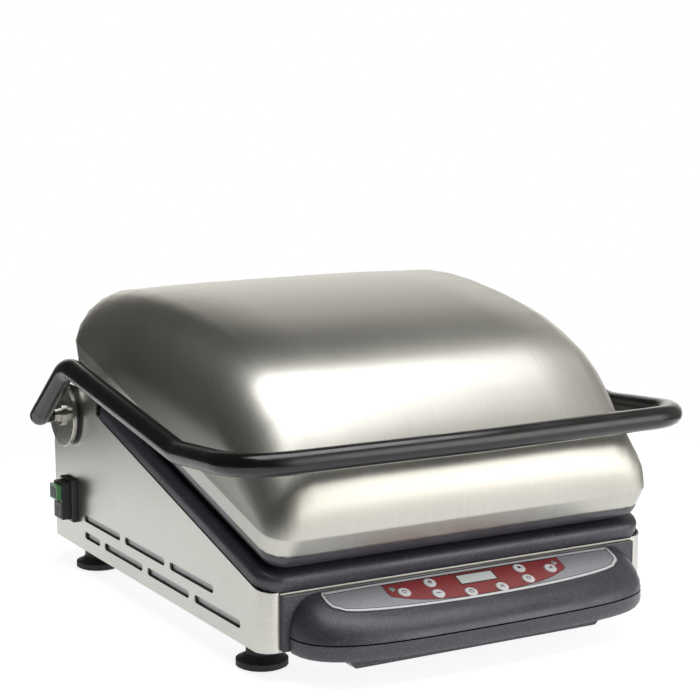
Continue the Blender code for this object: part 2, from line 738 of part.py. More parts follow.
def build_switch():
    """No-volt switch on the left side with two push buttons."""
    y = switch_centre_y()
    w = SWITCH_WIDTH / 2
    t = SWITCH_HEIGHT / 2
    steps = [(-HALF + 0.024, w - 0.007, t - 0.005), (-HALF - GAP, w - 0.007, t - 0.005),
             (-HALF - GAP, w, t), (-HALF - 0.0050, w, t), (-HALF - 0.0062, w - 0.001, t - 0.001),
             (-HALF - 0.0062, w - 0.005, t - 0.003), (-HALF - 0.0156, w - 0.005, t - 0.003)]
    obj = finish("switch_housing", stepped_x(steps, y, SWITCH_Z), BLACK, smooth=0)
    wide = w - 0.0070
    face = -HALF - 0.0156
    on_z = SWITCH_Z + 0.0097
    off_z = SWITCH_Z - 0.0097
    pockets = [box(face - 0.002, face + 0.009, y - wide - GAP, y + wide + GAP, z - 0.0083 - GAP,
                   z + 0.0083 + GAP) for z in (on_z, off_z)]
    boolean(obj, finish("switch_pockets", merge(*pockets), None, smooth=0))
    for name, z, proud, look in (("switch_on_button", on_z, 0.0056, GREEN),
                                 ("switch_off_button", off_z, 0.0006, BLACK)):
        x0 = face - proud
        steps = [(x0, wide - 0.0006, 0.0077), (x0 + 0.0006, wide, 0.0083),
                 (face + 0.0070, wide, 0.0083)]
        finish(name, stepped_x(steps, y, z), look, origin=(x0, y, z), smooth=0)


# ---------------------------------------------------------------- hinge and handle
def build_bearings():
    """Flanged bushings in the hinge ears and the two counter springs."""
    bore = SHAFT_RADIUS + GAP
    wall = SHAFT_RADIUS + BEARING_WALL
    for name, sign in (("bearing_left", -1), ("bearing_right", 1)):
        prof = [(sign * (INNER - 0.004), bore), (sign * (INNER - 0.004), wall),
                (sign * (HALF + GAP), wall), (sign * (HALF + GAP), DISC_RADIUS - 0.002),
                (sign * (HALF + 0.0035), DISC_RADIUS - 0.002), (sign * (HALF + 0.0035), bore)]
        finish(name, turned(prof, "X", LIFT_ORIGIN, 22, loop=True), BLACK)
    for name, sign in (("counter_spring_left", -1), ("counter_spring_right", 1)):
        x0 = sign * (INNER - 0.012)
        path = []
        turns = 5
        for i in range(turns * 8 + 1):
            t = 2 * math.pi * i / 8
            x = x0 - sign * 0.0062 * i / 8
            path.append((x, HINGE_Y + SPRING_RADIUS * math.cos(t),
                         HINGE_Z + SPRING_RADIUS * math.sin(t)))
        finish(name, tube(path, SPRING_WIRE, 4), SPRING, origin=LIFT_ORIGIN)


def build_shaft(lift):
    """Shaft through both ears with stepped ends, and the two hinge discs."""
    r = SHAFT_RADIUS
    end = ARM_X - TUBE_RADIUS - 0.0033
    prof = [(-end, r - 0.0030), (-end, r - 0.0015), (-HALF - 0.013, r - 0.0015),
            (-HALF - 0.013, r), (HALF + 0.013, r), (HALF + 0.013, r - 0.0015),
            (end, r - 0.0015), (end, r - 0.0030)]
    finish("hinge_shaft", turned(prof, "X", LIFT_ORIGIN, 24), STEEL, origin=LIFT_ORIGIN,
           parent=lift)
    for name, sign in (("hinge_disc_left", -1), ("hinge_disc_right", 1)):
        x = HALF + 0.0038
        prof = [(x, r + GAP), (x, DISC_RADIUS),
                (x + DISC_THICK - 0.0006, DISC_RADIUS), (x + DISC_THICK, DISC_RADIUS - 0.0006),
                (x + DISC_THICK, r + 0.004), (x + DISC_THICK + 0.003, r + 0.004),
                (x + DISC_THICK + 0.003, r + GAP)]
        prof = [(sign * a, b) for a, b in prof]
        finish(name, turned(prof, "X", LIFT_ORIGIN, 26, loop=True), STEEL, origin=LIFT_ORIGIN,
               parent=lift)


def handle_nodes():
    """Corner points of the loop handle from the left clamp to the middle."""
    bend_y = HINGE_Y - 0.084
    bend_z = HINGE_Z + 0.0665
    knee_y = FRONT_Y + 0.104
    knee_z = HINGE_Z + 0.0260
    bar_y = FRONT_Y - 0.028
    bar_z = HINGE_Z + 0.0365
    return [(ARM_X, HINGE_Y, HINGE_Z), (ARM_X, bend_y, bend_z), (ARM_X, knee_y, knee_z),
            (ARM_X, bar_y, bar_z), (0.0, bar_y - 0.006, bar_z)]


def build_handle(lift):
    """Loop handle tube and its end clamps with set screws."""
    nodes = [Vector(p) for p in handle_nodes()]
    along = (nodes[1] - nodes[0]).normalized()
    start = nodes[0] + along * 0.0143
    half = [start] + nodes[1:]
    mirror = [Vector((-p.x, p.y, p.z)) for p in half]
    points = mirror + list(reversed(half[:-1]))
    radii = [0.042, 0.060, 0.050, 0.9, 0.050, 0.060, 0.042]
    steps = [7, 3, 7, 4, 7, 3, 7]
    path = fillet_path(points, radii, steps)
    finish("handle_tube", tube(path, TUBE_RADIUS, 14), BLACK, origin=LIFT_ORIGIN, parent=lift,
           smooth=50)
    for name, sign in (("handle_clamp_left", -1), ("handle_clamp_right", 1)):
        build_clamp(name, sign, along, lift)


def build_clamp(name, sign, along, lift):
    """Rounded end clamp that grips the shaft end, with a set screw."""
    hub = Vector((sign * ARM_X, HINGE_Y, HINGE_Z))
    r = TUBE_RADIUS
    rings = []
    side = Vector((1, 0, 0))
    up = along.cross(side)
    stations = [(0.0140, r - 0.0006), (0.0134, r), (0.0, r)]
    stations += [(-r * math.sin(math.radians(a)), r * math.cos(math.radians(a)))
                 for a in (20, 40, 60, 78)]
    for dist, rad in stations:
        centre = hub + along * (dist + 0.0003)
        rings.append([centre + side * (rad * math.cos(t)) + up * (rad * math.sin(t))
                      for t in [2 * math.pi * k / 16 for k in range(16)]])
    obj = finish(name, loft(rings), BLACK, origin=LIFT_ORIGIN, parent=lift, smooth=40)
    inner = sign * (ARM_X - r - 0.0030)
    boss = turned([(inner, 0.0087), (sign * (ARM_X - 0.0021), 0.0087)], "X", LIFT_ORIGIN, 18)
    boolean(obj, finish(name + "_boss", boss, None, origin=LIFT_ORIGIN, parent=lift), "UNION")
    sink = turned([(sign * (ARM_X + 0.0037), 0.0043), (sign * (ARM_X + r + 0.004), 0.0043)], "X",
                  LIFT_ORIGIN, 13)
    boolean(obj, finish(name + "_sink", sink, None, origin=LIFT_ORIGIN, parent=lift))
    screw = [(sign * (ARM_X + 0.0043), 0.0038), (sign * (ARM_X + r - 0.0022), 0.0038),
             (sign * (ARM_X + r - 0.0016), 0.0032)]
    finish(name.replace("handle_clamp", "clamp_screw"), turned(screw, "X", LIFT_ORIGIN, 14),
           STEEL, origin=LIFT_ORIGIN, parent=lift)


def arm_shape():
    """Side outline of a lift arm in deck coordinates, without the hub hole."""
    elbow_s = HINGE_S - 0.0430
    elbow_h = PIN_H + 0.001
    hub = 0.0150
    half = 0.0080
    pts = arc(HINGE_S, HINGE_H, hub, 200, 390, 12)
    pts += arc(elbow_s + 0.002, elbow_h - 0.001, half + 0.001, 20, 90, 4)
    pts += arc(PIN_S, PIN_H, half, 90, 270, 8)
    pts.append((elbow_s - 0.010, PIN_H - half))
    return pts


def build_arms(lift):
    """Two inner arms from the shaft to the head pins."""
    spread = 0.120 * BODY_WIDTH / 0.430
    for name, x in (("lift_arm_left", -spread), ("lift_arm_right", spread)):
        pts = [from_deck(s, h) for s, h in arm_shape()]
        obj = finish(name, prism(pts, "X", x - 0.006, x + 0.006), STEEL, origin=LIFT_ORIGIN,
                     parent=lift)
        y, z = from_deck(PIN_S, PIN_H)
        bore = SHAFT_RADIUS + GAP
        eye = HEAD_PIN_RADIUS + GAP
        cuts = [turned([(x - 0.01, bore), (x + 0.01, bore)], "X", LIFT_ORIGIN, 24),
                turned([(x - 0.01, eye), (x + 0.01, eye)], "X", (0, y, z), 16)]
        boolean(obj, finish(name + "_bores", merge(*cuts), None, origin=LIFT_ORIGIN,
                            parent=lift))


# ---------------------------------------------------------------- floating head
DOME_PROFILE = ((0.000, 0.00), (0.006, 0.115), (0.022, 0.295), (0.066, 0.490), (0.126, 0.670),
                (0.194, 0.852), (0.278, 0.962), (0.382, 1.000), (0.506, 0.968), (0.652, 0.885),
                (0.796, 0.742), (0.908, 0.560), (0.962, 0.400), (0.990, 0.200), (1.000, 0.00))


def smooth_line(points, samples):
    """Monotone cubic through the points, evenly sampled by index."""
    xs = [p[0] for p in points]
    ys = [p[1] for p in points]
    count = len(points)

    def tangent(values, i):
        if i in (0, count - 1):
            j = 0 if i == 0 else count - 2
            return values[j + 1] - values[j]
        left = values[i] - values[i - 1]
        right = values[i + 1] - values[i]
        if left * right <= 0:
            return 0.0
        return 2 * left * right / (left + right)

    out = []
    for k in range(samples + 1):
        t = k * (count - 1) / samples
        i = min(int(t), count - 2)
        u = t - i
        weights = (2 * u ** 3 - 3 * u ** 2 + 1, u ** 3 - 2 * u ** 2 + u, -2 * u ** 3 + 3 * u ** 2,
                   u ** 3 - u ** 2)
        row = []
        for values in (xs, ys):
            terms = (values[i], tangent(values, i), values[i + 1], tangent(values, i + 1))
            row.append(sum(w * v for w, v in zip(weights, terms)))
        out.append(tuple(row))
    return out


def dome_columns():
    """Positions across the dome with their rounding drop (0 top to 1 side)."""
    half = INNER - 0.001
    r = DOME_EDGE_RADIUS
    cols = []
    for a in (0, 15, 30, 45, 60, 76):
        t = math.radians(a)
        cols.append((-half + r * (1 - math.cos(t)), 1 - math.sin(t)))
    for i in range(1, 4):
        cols.append(((-half + r) * (1 - i / 4), 0.0))
    right = [(-x, d) for x, d in reversed(cols)]
    return cols + [(0.0, 0.0)] + right


def dome_rows():
    """Lengthwise stations of the dome crown in deck coordinates."""
    rows = []
    for u, v in smooth_line(DOME_PROFILE, 22):
        rows.append((HEAD_FRONT_S - DOME_INSET + u * (HEAD_LENGTH + 2 * DOME_INSET),
                     CREASE_HEIGHT + v * (DOME_HEIGHT - 0.020)))
    return rows


def dome_grid():
    """Grid of crown points, bounded by the crease line."""
    half = INNER - 0.001
    rc = DOME_CORNER_RADIUS
    cols = dome_columns()
    rows = dome_rows()
    s_first = rows[0][0]
    s_last = rows[-1][0]
    grid = []
    for s, h in rows:
        line = []
        rise = h - CREASE_HEIGHT
        back = min(max((s - s_first) / (s_last - s_first), 0.0), 1.0)
        soft = DOME_EDGE_RADIUS + (REAR_EDGE_RADIUS - DOME_EDGE_RADIUS) * back
        edge = min(soft, rise * 0.8)
        tighten = soft / DOME_EDGE_RADIUS
        near = max(0.0, 1 - (s - s_first) / 0.20)
        far = max(0.0, 1 - (s_last - s) / 0.12)
        for x, drop in [(cols[0][0], None)] + cols + [(cols[-1][0], None)]:
            if drop is not None and drop > 0:
                x = math.copysign(half - (half - abs(x)) * tighten, x)
            over = min(max(abs(x) - (half - rc), 0.0), rc)
            shift = rc - math.sqrt(rc * rc - over * over)
            crown = 0.002 * (1 - (x / half) ** 2) * min(rise / 0.06, 1.0)
            z = CREASE_HEIGHT if drop is None else h - edge * drop + crown
            line.append((x, s + shift * (near - far), z))
        grid.append(line)
    return grid


def build_dome(head):
    """Pressed steel cover: crown, crease and skirt in one thin shell."""
    bm = bmesh.new()
    grid = [[bm.verts.new(p) for p in line] for line in dome_grid()]
    rows = len(grid)
    cols = len(grid[0])
    for i in range(rows - 1):
        for j in range(cols - 1):
            bm.faces.new((grid[i][j], grid[i][j + 1], grid[i + 1][j + 1], grid[i + 1][j]))
    bmesh.ops.remove_doubles(bm, verts=bm.verts, dist=0.00005)
    bmesh.ops.dissolve_degenerate(bm, dist=0.00001, edges=bm.edges)
    rim_edges = [e for e in bm.edges if e.is_boundary]
    made = bmesh.ops.extrude_edge_only(bm, edges=rim_edges)
    s_mid = HEAD_FRONT_S + HEAD_LENGTH / 2
    for v in [g for g in made["geom"] if isinstance(g, bmesh.types.BMVert)]:
        v.co.x *= (INNER - 0.004) / (INNER - 0.001)
        v.co.y = s_mid + (v.co.y - s_mid) * HEAD_LENGTH / (HEAD_LENGTH + 2 * DOME_INSET)
        v.co.z = DOME_BOTTOM
    obj = finish("dome_cover", bm, STEEL, origin=HEAD_ORIGIN, parent=head, smooth=60)
    mod = obj.modifiers.new("wall", "SOLIDIFY")
    mod.thickness = DOME_SHEET
    mod.offset = -1.0
    mod.use_even_offset = True
    return obj


def build_rim(head):
    """Dark bullnose rim under the dome."""
    low = RIM_BOTTOM
    section = [(0.0002, RIM_TOP), (0.0005, RIM_TOP - 0.0037), (0.0018, RIM_TOP - 0.0077),
               (0.0045, low + 0.0035), (0.0085, low + 0.0010), (0.0130, low), (0.0195, low),
               (0.0195, RIM_TOP)]
    bm = frame_loop(INNER - 0.004, HEAD_FRONT_S, HEAD_REAR_S, DOME_CORNER_RADIUS,
                    DOME_CORNER_RADIUS, section, 6)
    finish("upper_rim", bm, DARK_SATIN, origin=HEAD_ORIGIN, parent=head, smooth=50)


def build_upper_plate(head):
    """Ribbed upper plate and its folded element."""
    half = INNER - 0.0285
    low = 0.0208
    pts = rib_profile(half, 0.0300, low, low - RIB_HEIGHT, False)
    s0 = HEAD_FRONT_S + 0.0245
    obj = prism(pts, "Y", s0, PLATE_REAR_S)
    finish("upper_grill_plate", obj, IRON, origin=HEAD_ORIGIN, parent=head, smooth=0)
    path = serpentine(half - 0.035, s0 + 0.030, PLATE_REAR_S - 0.030, 0.0342, 6)
    finish("upper_heating_element", tube(path, 0.0032, 5), ELEMENT, origin=HEAD_ORIGIN,
           parent=head)


def build_head_base(head):
    """Carrier sheet over the element with two clevis brackets and pins."""
    side = INNER - 0.0074
    plan = rounded_rect(-side, side, HEAD_FRONT_S + 0.006, HINGE_S - 0.0634,
                        DOME_CORNER_RADIUS, 0.001, 4)
    base = prism(plan, "Z", 0.0420, 0.0435)
    finish("head_base_plate", base, STEEL, origin=HEAD_ORIGIN, parent=head, smooth=0)
    spread = 0.120 * BODY_WIDTH / 0.430
    low = 0.0438
    for name, x in (("left", -spread), ("right", spread)):
        pts = [(x - 0.020, low), (x + 0.020, low), (x + 0.020, low + 0.003),
               (x + 0.0115, low + 0.003), (x + 0.0115, PIN_H + 0.009), (x + 0.0065, PIN_H + 0.009),
               (x + 0.0065, low + 0.003), (x - 0.0065, low + 0.003), (x - 0.0065, PIN_H + 0.009),
               (x - 0.0115, PIN_H + 0.009), (x - 0.0115, low + 0.003), (x - 0.020, low + 0.003)]
        obj = finish(f"head_bracket_{name}", prism(pts, "Y", PIN_S - 0.014, PIN_S + 0.0105), STEEL,
                     origin=HEAD_ORIGIN, parent=head, smooth=0)
        eye = HEAD_PIN_RADIUS + GAP
        cut = turned([(x - 0.02, eye), (x + 0.02, eye)], "X", (0, PIN_S, PIN_H), 16)
        boolean(obj, finish(f"bracket_eye_{name}", cut, None, origin=HEAD_ORIGIN, parent=head))
        r = HEAD_PIN_RADIUS
        prof = [(x - 0.0145, r + 0.002), (x - 0.0118, r + 0.002), (x - 0.0118, r),
                (x + 0.0135, r), (x + 0.0142, r - 0.0007)]
        finish(f"head_pin_{name}", turned(prof, "X", (0, PIN_S, PIN_H), 16), SPRING,
               origin=HEAD_ORIGIN, parent=head)


def build_all():
    """Assemble every sub-part."""
    reset_scene()
    deck = axis_empty("deck_frame", (0.0, FRONT_Y, RAIL_Z), SLOPE)
    lift = axis_empty("lid_axis", LIFT_ORIGIN)
    y, z = from_deck(PIN_S, PIN_H)
    head = axis_empty("head_axis", (0.0, y, z), SLOPE)
    face = face_frame()
    build_side_panel("side_panel_left", -1)
    build_side_panel("side_panel_right", 1)
    build_cross_rail()
    build_front_panel()
    build_closing_sheets()
    build_gland()
    build_feet()
    build_lower_frame(deck)
    build_lower_plate(deck)
    build_drain_chute(deck)
    build_lower_heat(deck)
    build_console(face)
    build_keypad(face)
    build_drawer()
    build_switch()
    build_bearings()
    build_shaft(lift)
    build_handle(lift)
    build_arms(lift)
    build_dome(head)
    build_rim(head)
    build_upper_plate(head)
    build_head_base(head)


build_all()
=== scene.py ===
"""Visual model of a countertop contact grill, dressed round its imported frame.

Metres, +Z up, front of the grill toward -Y, left side (power switch) toward -X.
"""

import json
import logging
import math
from dataclasses import dataclass, field
from enum import Enum
from typing import Any, Iterable, Sequence

import bmesh
import bpy
import numpy as np
from mathutils import Matrix, Vector

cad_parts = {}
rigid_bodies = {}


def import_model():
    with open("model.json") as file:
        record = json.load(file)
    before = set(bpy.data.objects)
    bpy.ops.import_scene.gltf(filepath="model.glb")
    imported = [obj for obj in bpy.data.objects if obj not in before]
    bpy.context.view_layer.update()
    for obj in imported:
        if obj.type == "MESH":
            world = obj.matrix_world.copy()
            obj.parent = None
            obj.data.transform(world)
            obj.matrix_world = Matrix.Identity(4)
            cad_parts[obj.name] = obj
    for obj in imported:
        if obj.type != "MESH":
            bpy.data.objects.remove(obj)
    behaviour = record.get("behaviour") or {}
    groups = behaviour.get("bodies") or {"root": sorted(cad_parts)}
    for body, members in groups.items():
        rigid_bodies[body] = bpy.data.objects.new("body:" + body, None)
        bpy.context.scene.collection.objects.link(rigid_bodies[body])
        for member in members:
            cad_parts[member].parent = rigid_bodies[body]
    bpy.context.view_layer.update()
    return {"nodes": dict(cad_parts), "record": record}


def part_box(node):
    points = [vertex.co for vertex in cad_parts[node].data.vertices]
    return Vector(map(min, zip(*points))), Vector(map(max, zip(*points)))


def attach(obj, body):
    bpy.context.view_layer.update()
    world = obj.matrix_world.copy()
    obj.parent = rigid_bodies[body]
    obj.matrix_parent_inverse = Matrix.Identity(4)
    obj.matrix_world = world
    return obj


LOG = logging.getLogger("contact_grill")
MM = 0.001
WELD = 2e-6  # corners this close, in metres, are one point
TINY = 1e-12  # guards a division by a length of nothing
CUT_LOW, CUT_HIGH = -4 * MM, 6 * MM  # ends of a cutter, either side of a printed layer
Point2 = tuple[float, float]
Point3 = tuple[float, float, float]
Colour = tuple[float, float, float, float]


# ---------------------------------------------------------------- small helpers
def linear(hex_colour: str) -> Colour:
    """Turn an sRGB hex colour into linear RGBA.

    Args:
        hex_colour: six hex digits, such as "8E3437".

    Returns:
        Red, green, blue and alpha, linear.
    """
    parts = [int(hex_colour[i:i + 2], 16) / 255 for i in (0, 2, 4)]
    low = [c / 12.92 if c <= 0.04045 else ((c + 0.055) / 1.055) ** 2.4 for c in parts]
    return low[0], low[1], low[2], 1.0


def add_node(tree: bpy.types.NodeTree, kind: str, settings: dict[str, Any] | None = None,
             inputs: dict[Any, Any] | None = None) -> bpy.types.Node:
    """Add one node with its settings, values and links.

    Args:
        tree: node tree that takes the node.
        kind: Blender's type name of the node.
        settings: attributes of the node itself.
        inputs: socket name or index, to a value or to another node's output socket.

    Returns:
        The new node.
    """
    node = tree.nodes.new(kind)
    for key, value in (settings or {}).items():
        setattr(node, key, value)
    for key, value in (inputs or {}).items():
        if isinstance(value, bpy.types.NodeSocket):
            tree.links.new(value, node.inputs[key])
        else:
            node.inputs[key].default_value = value
    return node


def per_metre(size_mm: float) -> float:
    """Texture scale that gives features of this size in millimetres."""
    return 1.0 / (size_mm * MM)


# ---------------------------------------------------------------- finishes
class Grain(Enum):
    """Direction in which a metal surface was brushed, as (across, along)."""

    LENGTHWISE = ((0.0, 0.0, 1.0), (0.0, 1.0, 0.0))
    CROSSWISE = ((0.0, 0.26, 0.97), (1.0, 0.0, 0.0))
    UP_AND_OVER = ((1.0, 0.0, 0.0), (0.0, 0.70, 0.714))
    UPRIGHT = ((1.0, 0.0, 0.0), (0.0, 0.0, 1.0))


@dataclass(frozen=True)
class Finish:
    """A surface finish: colour, gloss and how soft its edges look.

    Attributes:
        name: name of the material.
        colour: sRGB hex colour.
        roughness: middle roughness of the surface.
        metallic: 1 for bare metal.
        ior: index of refraction of a non-metal.
        edge_mm: radius that worn or moulded edges show.
    """

    name: str
    colour: str
    roughness: float
    metallic: float = 0.0
    ior: float = 1.46
    edge_mm: float = 0.35

    def build(self) -> bpy.types.Material:
        """Make the Blender material with its pattern."""
        mat = bpy.data.materials.new(self.name)
        mat.use_nodes = True
        tree = mat.node_tree
        tree.nodes.clear()
        out = add_node(tree, "ShaderNodeOutputMaterial")
        skin = add_node(tree, "ShaderNodeBsdfPrincipled",
                        inputs={"Base Color": linear(self.colour), "Roughness": self.roughness,
                                "Metallic": self.metallic})
        if not self.metallic:
            skin.inputs["IOR"].default_value = self.ior
        tree.links.new(skin.outputs["BSDF"], out.inputs["Surface"])
        self.pattern(tree, skin)
        mat.diffuse_color = linear(self.colour)
        return mat

    def pattern(self, tree: bpy.types.NodeTree, skin: bpy.types.Node) -> None:
        """Add the pattern that this kind of surface shows."""

    def place(self, tree: bpy.types.NodeTree) -> bpy.types.NodeSocket:
        """Return the point on the piece, in metres, that patterns are read at."""
        return add_node(tree, "ShaderNodeTexCoord").outputs["Object"]

    def soft_edge(self, tree: bpy.types.NodeTree) -> bpy.types.NodeSocket:
        """Return a normal rounded at the edges by edge_mm."""
        return add_node(tree, "ShaderNodeBevel", {"samples": 4},
                        {"Radius": self.edge_mm * MM}).outputs["Normal"]

    def noise(self, tree: bpy.types.NodeTree, point: bpy.types.NodeSocket, size_mm: float,
              detail: float = 2.0) -> bpy.types.NodeSocket:
        """Return a noise value whose lumps have this size.

        Args:
            tree: node tree of the material.
            point: where the noise is read.
            size_mm: size of one lump in millimetres.
            detail: octaves of finer noise on top.

        Returns:
            Value socket from about 0.3 to 0.7.
        """
        return add_node(tree, "ShaderNodeTexNoise",
                        inputs={"Vector": point, "Scale": per_metre(size_mm),
                                "Detail": detail}).outputs["Fac"]

    def spread(self, tree: bpy.types.NodeTree, value: bpy.types.NodeSocket, low: float,
               high: float, start: float = 0.35, end: float = 0.65) -> bpy.types.NodeSocket:
        """Stretch a value between two limits.

        Args:
            tree: node tree of the material.
            value: socket to stretch.
            low: result at start.
            high: result at end.
            start: value that gives low.
            end: value that gives high.

        Returns:
            The stretched value.
        """
        return add_node(tree, "ShaderNodeMapRange",
                        inputs={"Value": value, "From Min": start, "From Max": end,
                                "To Min": low, "To Max": high}).outputs["Result"]

    def shade(self, tree: bpy.types.NodeTree, skin: bpy.types.Node, factor: bpy.types.NodeSocket,
              first: str, second: str) -> None:
        """Colour the surface between two colours.

        Args:
            tree: node tree of the material.
            skin: shader of the surface.
            factor: 0 gives the first colour, 1 the second.
            first: sRGB hex colour.
            second: sRGB hex colour.
        """
        mix = add_node(tree, "ShaderNodeMix", {"data_type": "RGBA"},
                       {"Factor": factor, 6: linear(first), 7: linear(second)})
        tree.links.new(mix.outputs[2], skin.inputs["Base Color"])

    def relief(self, tree: bpy.types.NodeTree, skin: bpy.types.Node,
               height: bpy.types.NodeSocket, depth_mm: float, strength: float = 1.0) -> None:
        """Raise the surface by a height pattern.

        Args:
            tree: node tree of the material.
            skin: shader of the surface.
            height: height from 0 to 1.
            depth_mm: what a height of 1 means, in millimetres.
            strength: how much of the relief shows.
        """
        bump = add_node(tree, "ShaderNodeBump",
                        inputs={"Height": height, "Distance": depth_mm * MM,
                                "Strength": strength, "Normal": self.soft_edge(tree)})
        tree.links.new(bump.outputs["Normal"], skin.inputs["Normal"])


@dataclass(frozen=True)
class BrushedStainless(Finish):
    """Stainless sheet, belt-brushed in one direction.

    The belt leaves fine parallel scratches: they stretch each highlight across the grain
    and give a soft sheen. The real scratches are about 0.1 mm apart, too fine to show, so
    they are drawn 0.5 mm apart.
    """

    grain: Grain = Grain.LENGTHWISE
    scratch_mm: float = 0.5
    run_mm: float = 45.0
    light: str = "C3C2BC"
    dark: str = "AFAEA8"
    anisotropy: float = 0.55

    def streaks(self, tree: bpy.types.NodeTree, point: bpy.types.NodeSocket,
                across: Sequence[float], along: Sequence[float]) -> bpy.types.NodeSocket:
        """Return noise drawn out along the grain.

        Args:
            tree: node tree of the material.
            point: where the pattern is read.
            across: unit direction across the grain.
            along: unit direction of the grain.

        Returns:
            Streak value.
        """
        u = add_node(tree, "ShaderNodeVectorMath", {"operation": "DOT_PRODUCT"},
                     {0: point, 1: [c * per_metre(self.scratch_mm) for c in across]})
        v = add_node(tree, "ShaderNodeVectorMath", {"operation": "DOT_PRODUCT"},
                     {0: point, 1: [c * per_metre(self.run_mm) for c in along]})
        flat = add_node(tree, "ShaderNodeCombineXYZ",
                        inputs={"X": u.outputs["Value"], "Y": v.outputs["Value"]})
        return add_node(tree, "ShaderNodeTexNoise",
                        inputs={"Vector": flat.outputs[0], "Scale": 1.0, "Detail": 3.0,
                                "Roughness": 0.6}).outputs["Fac"]

    def pattern(self, tree: bpy.types.NodeTree, skin: bpy.types.Node) -> None:
        """Streaks in colour, gloss and height, with faint handling marks."""
        point = self.place(tree)
        across, along = self.grain.value
        streak = self.streaks(tree, point, across, along)
        normal = add_node(tree, "ShaderNodeNewGeometry").outputs["Normal"]
        if self.grain in (Grain.UP_AND_OVER, Grain.UPRIGHT):
            side = (0.0, -along[2], along[1])
            flank = self.streaks(tree, point, side, along)
            facing = add_node(tree, "ShaderNodeSeparateXYZ", inputs={0: normal}).outputs["X"]
            size = add_node(tree, "ShaderNodeMath", {"operation": "ABSOLUTE"}, {0: facing})
            share = self.spread(tree, size.outputs[0], 0.0, 1.0, 0.6, 0.85)
            streak = add_node(tree, "ShaderNodeMix", {"data_type": "FLOAT"},
                              {0: share, 2: streak, 3: flank}).outputs[0]
        cloud = self.noise(tree, point, 90.0, 3.0)
        both = add_node(tree, "ShaderNodeMath", {"operation": "MULTIPLY_ADD"},
                        {0: cloud, 1: 0.5, 2: streak})
        self.shade(tree, skin, self.spread(tree, both.outputs[0], 0.0, 1.0, 0.45, 1.05),
                   self.dark, self.light)
        rough = self.spread(tree, both.outputs[0], self.roughness - 0.03, self.roughness + 0.03,
                            0.45, 1.05)
        tree.links.new(rough, skin.inputs["Roughness"])
        skin.inputs["Anisotropic"].default_value = self.anisotropy
        pull = add_node(tree, "ShaderNodeVectorMath", {"operation": "CROSS_PRODUCT"},
                        {0: normal, 1: along})
        tree.links.new(pull.outputs["Vector"], skin.inputs["Tangent"])
        self.relief(tree, skin, streak, 0.01, 0.2)


@dataclass(frozen=True)
class RolledSheet(Finish):
    """Galvanised or mill-finish sheet, left as it came off the rolls: grey, cloudy, even."""

    dark: str = "8B8C8D"

    def pattern(self, tree: bpy.types.NodeTree, skin: bpy.types.Node) -> None:
        """Cloudy patches from the rolls and a faint grain."""
        point = self.place(tree)
        cloud = self.noise(tree, point, 14.0, 4.0)
        self.shade(tree, skin, self.spread(tree, cloud, 0.0, 1.0), self.dark, self.colour)
        tree.links.new(self.spread(tree, cloud, self.roughness - 0.08, self.roughness + 0.08),
                       skin.inputs["Roughness"])
        self.relief(tree, skin, self.noise(tree, point, 1.5), 0.02, 0.4)


@dataclass(frozen=True)
class TexturedMoulding(Finish):
    """Moulded thermoplastic or coated sheet with a spark-eroded grain.

    The grain of 0.7 mm scatters light. Pale flecks in its colour are painted glints:
    they stand in for the fine sparkle of light on the grain.
    """

    # colour of the painted glints: pale flecks that stand in for sparkle on the grain
    painted_glint: str = "6B6A76"
    grit_mm: float = 0.7
    painted_glint_share: float = 0.61
    depth_mm: float = 0.04

    def pattern(self, tree: bpy.types.NodeTree, skin: bpy.types.Node) -> None:
        """Grain in height, with pale flecks of painted glint in the colour."""
        point = self.place(tree)
        grit = self.noise(tree, point, self.grit_mm, 2.0)
        # painted glint: the grain's highest lumps turn pale, standing in for sparkle
        painted_glint = self.spread(tree, grit, 0.0, 1.0, self.painted_glint_share - 0.03,
                            self.painted_glint_share + 0.08)
        self.shade(tree, skin, painted_glint, self.colour, self.painted_glint)
        wear = self.noise(tree, point, 40.0, 3.0)
        tree.links.new(self.spread(tree, wear, self.roughness - 0.06, self.roughness + 0.08),
                       skin.inputs["Roughness"])
        self.relief(tree, skin, grit, self.depth_mm, 0.8)


@dataclass(frozen=True)
class SmoothCoat(Finish):
    """Stoved enamel, powder coat, smooth moulding or rubber: even colour, faint orange peel.

    The peel of a few millimetres makes long reflections waver slightly.
    """

    peel_mm: float = 2.2
    depth_mm: float = 0.012
    dust: str = "3A3B3F"
    coat: float = 0.0

    def pattern(self, tree: bpy.types.NodeTree, skin: bpy.types.Node) -> None:
        """Orange peel, a little dust and rubbed patches."""
        point = self.place(tree)
        rubbed = self.noise(tree, point, 28.0, 4.0)
        self.shade(tree, skin, self.spread(tree, rubbed, 0.0, 0.35, 0.5, 0.75), self.colour,
                   self.dust)
        tree.links.new(self.spread(tree, rubbed, self.roughness - 0.05, self.roughness + 0.07),
                       skin.inputs["Roughness"])
        skin.inputs["Coat Weight"].default_value = self.coat
        skin.inputs["Coat Roughness"].default_value = 0.12
        self.relief(tree, skin, self.noise(tree, point, self.peel_mm), self.depth_mm, 0.6)


@dataclass(frozen=True)
class CastIron(Finish):
    """Cast plate, ground on its ribs and seasoned with oil: dark, pitted, half-dull."""

    rust: str = "3B322C"

    def pattern(self, tree: bpy.types.NodeTree, skin: bpy.types.Node) -> None:
        """Sand-cast pits of about 1.2 mm and brownish seasoning."""
        point = self.place(tree)
        season = self.noise(tree, point, 22.0, 4.0)
        self.shade(tree, skin, self.spread(tree, season, 0.0, 1.0, 0.42, 0.72), self.colour,
                   self.rust)
        tree.links.new(self.spread(tree, season, self.roughness + 0.08, self.roughness - 0.10),
                       skin.inputs["Roughness"])
        self.relief(tree, skin, self.noise(tree, point, 1.2, 3.0), 0.09, 0.7)


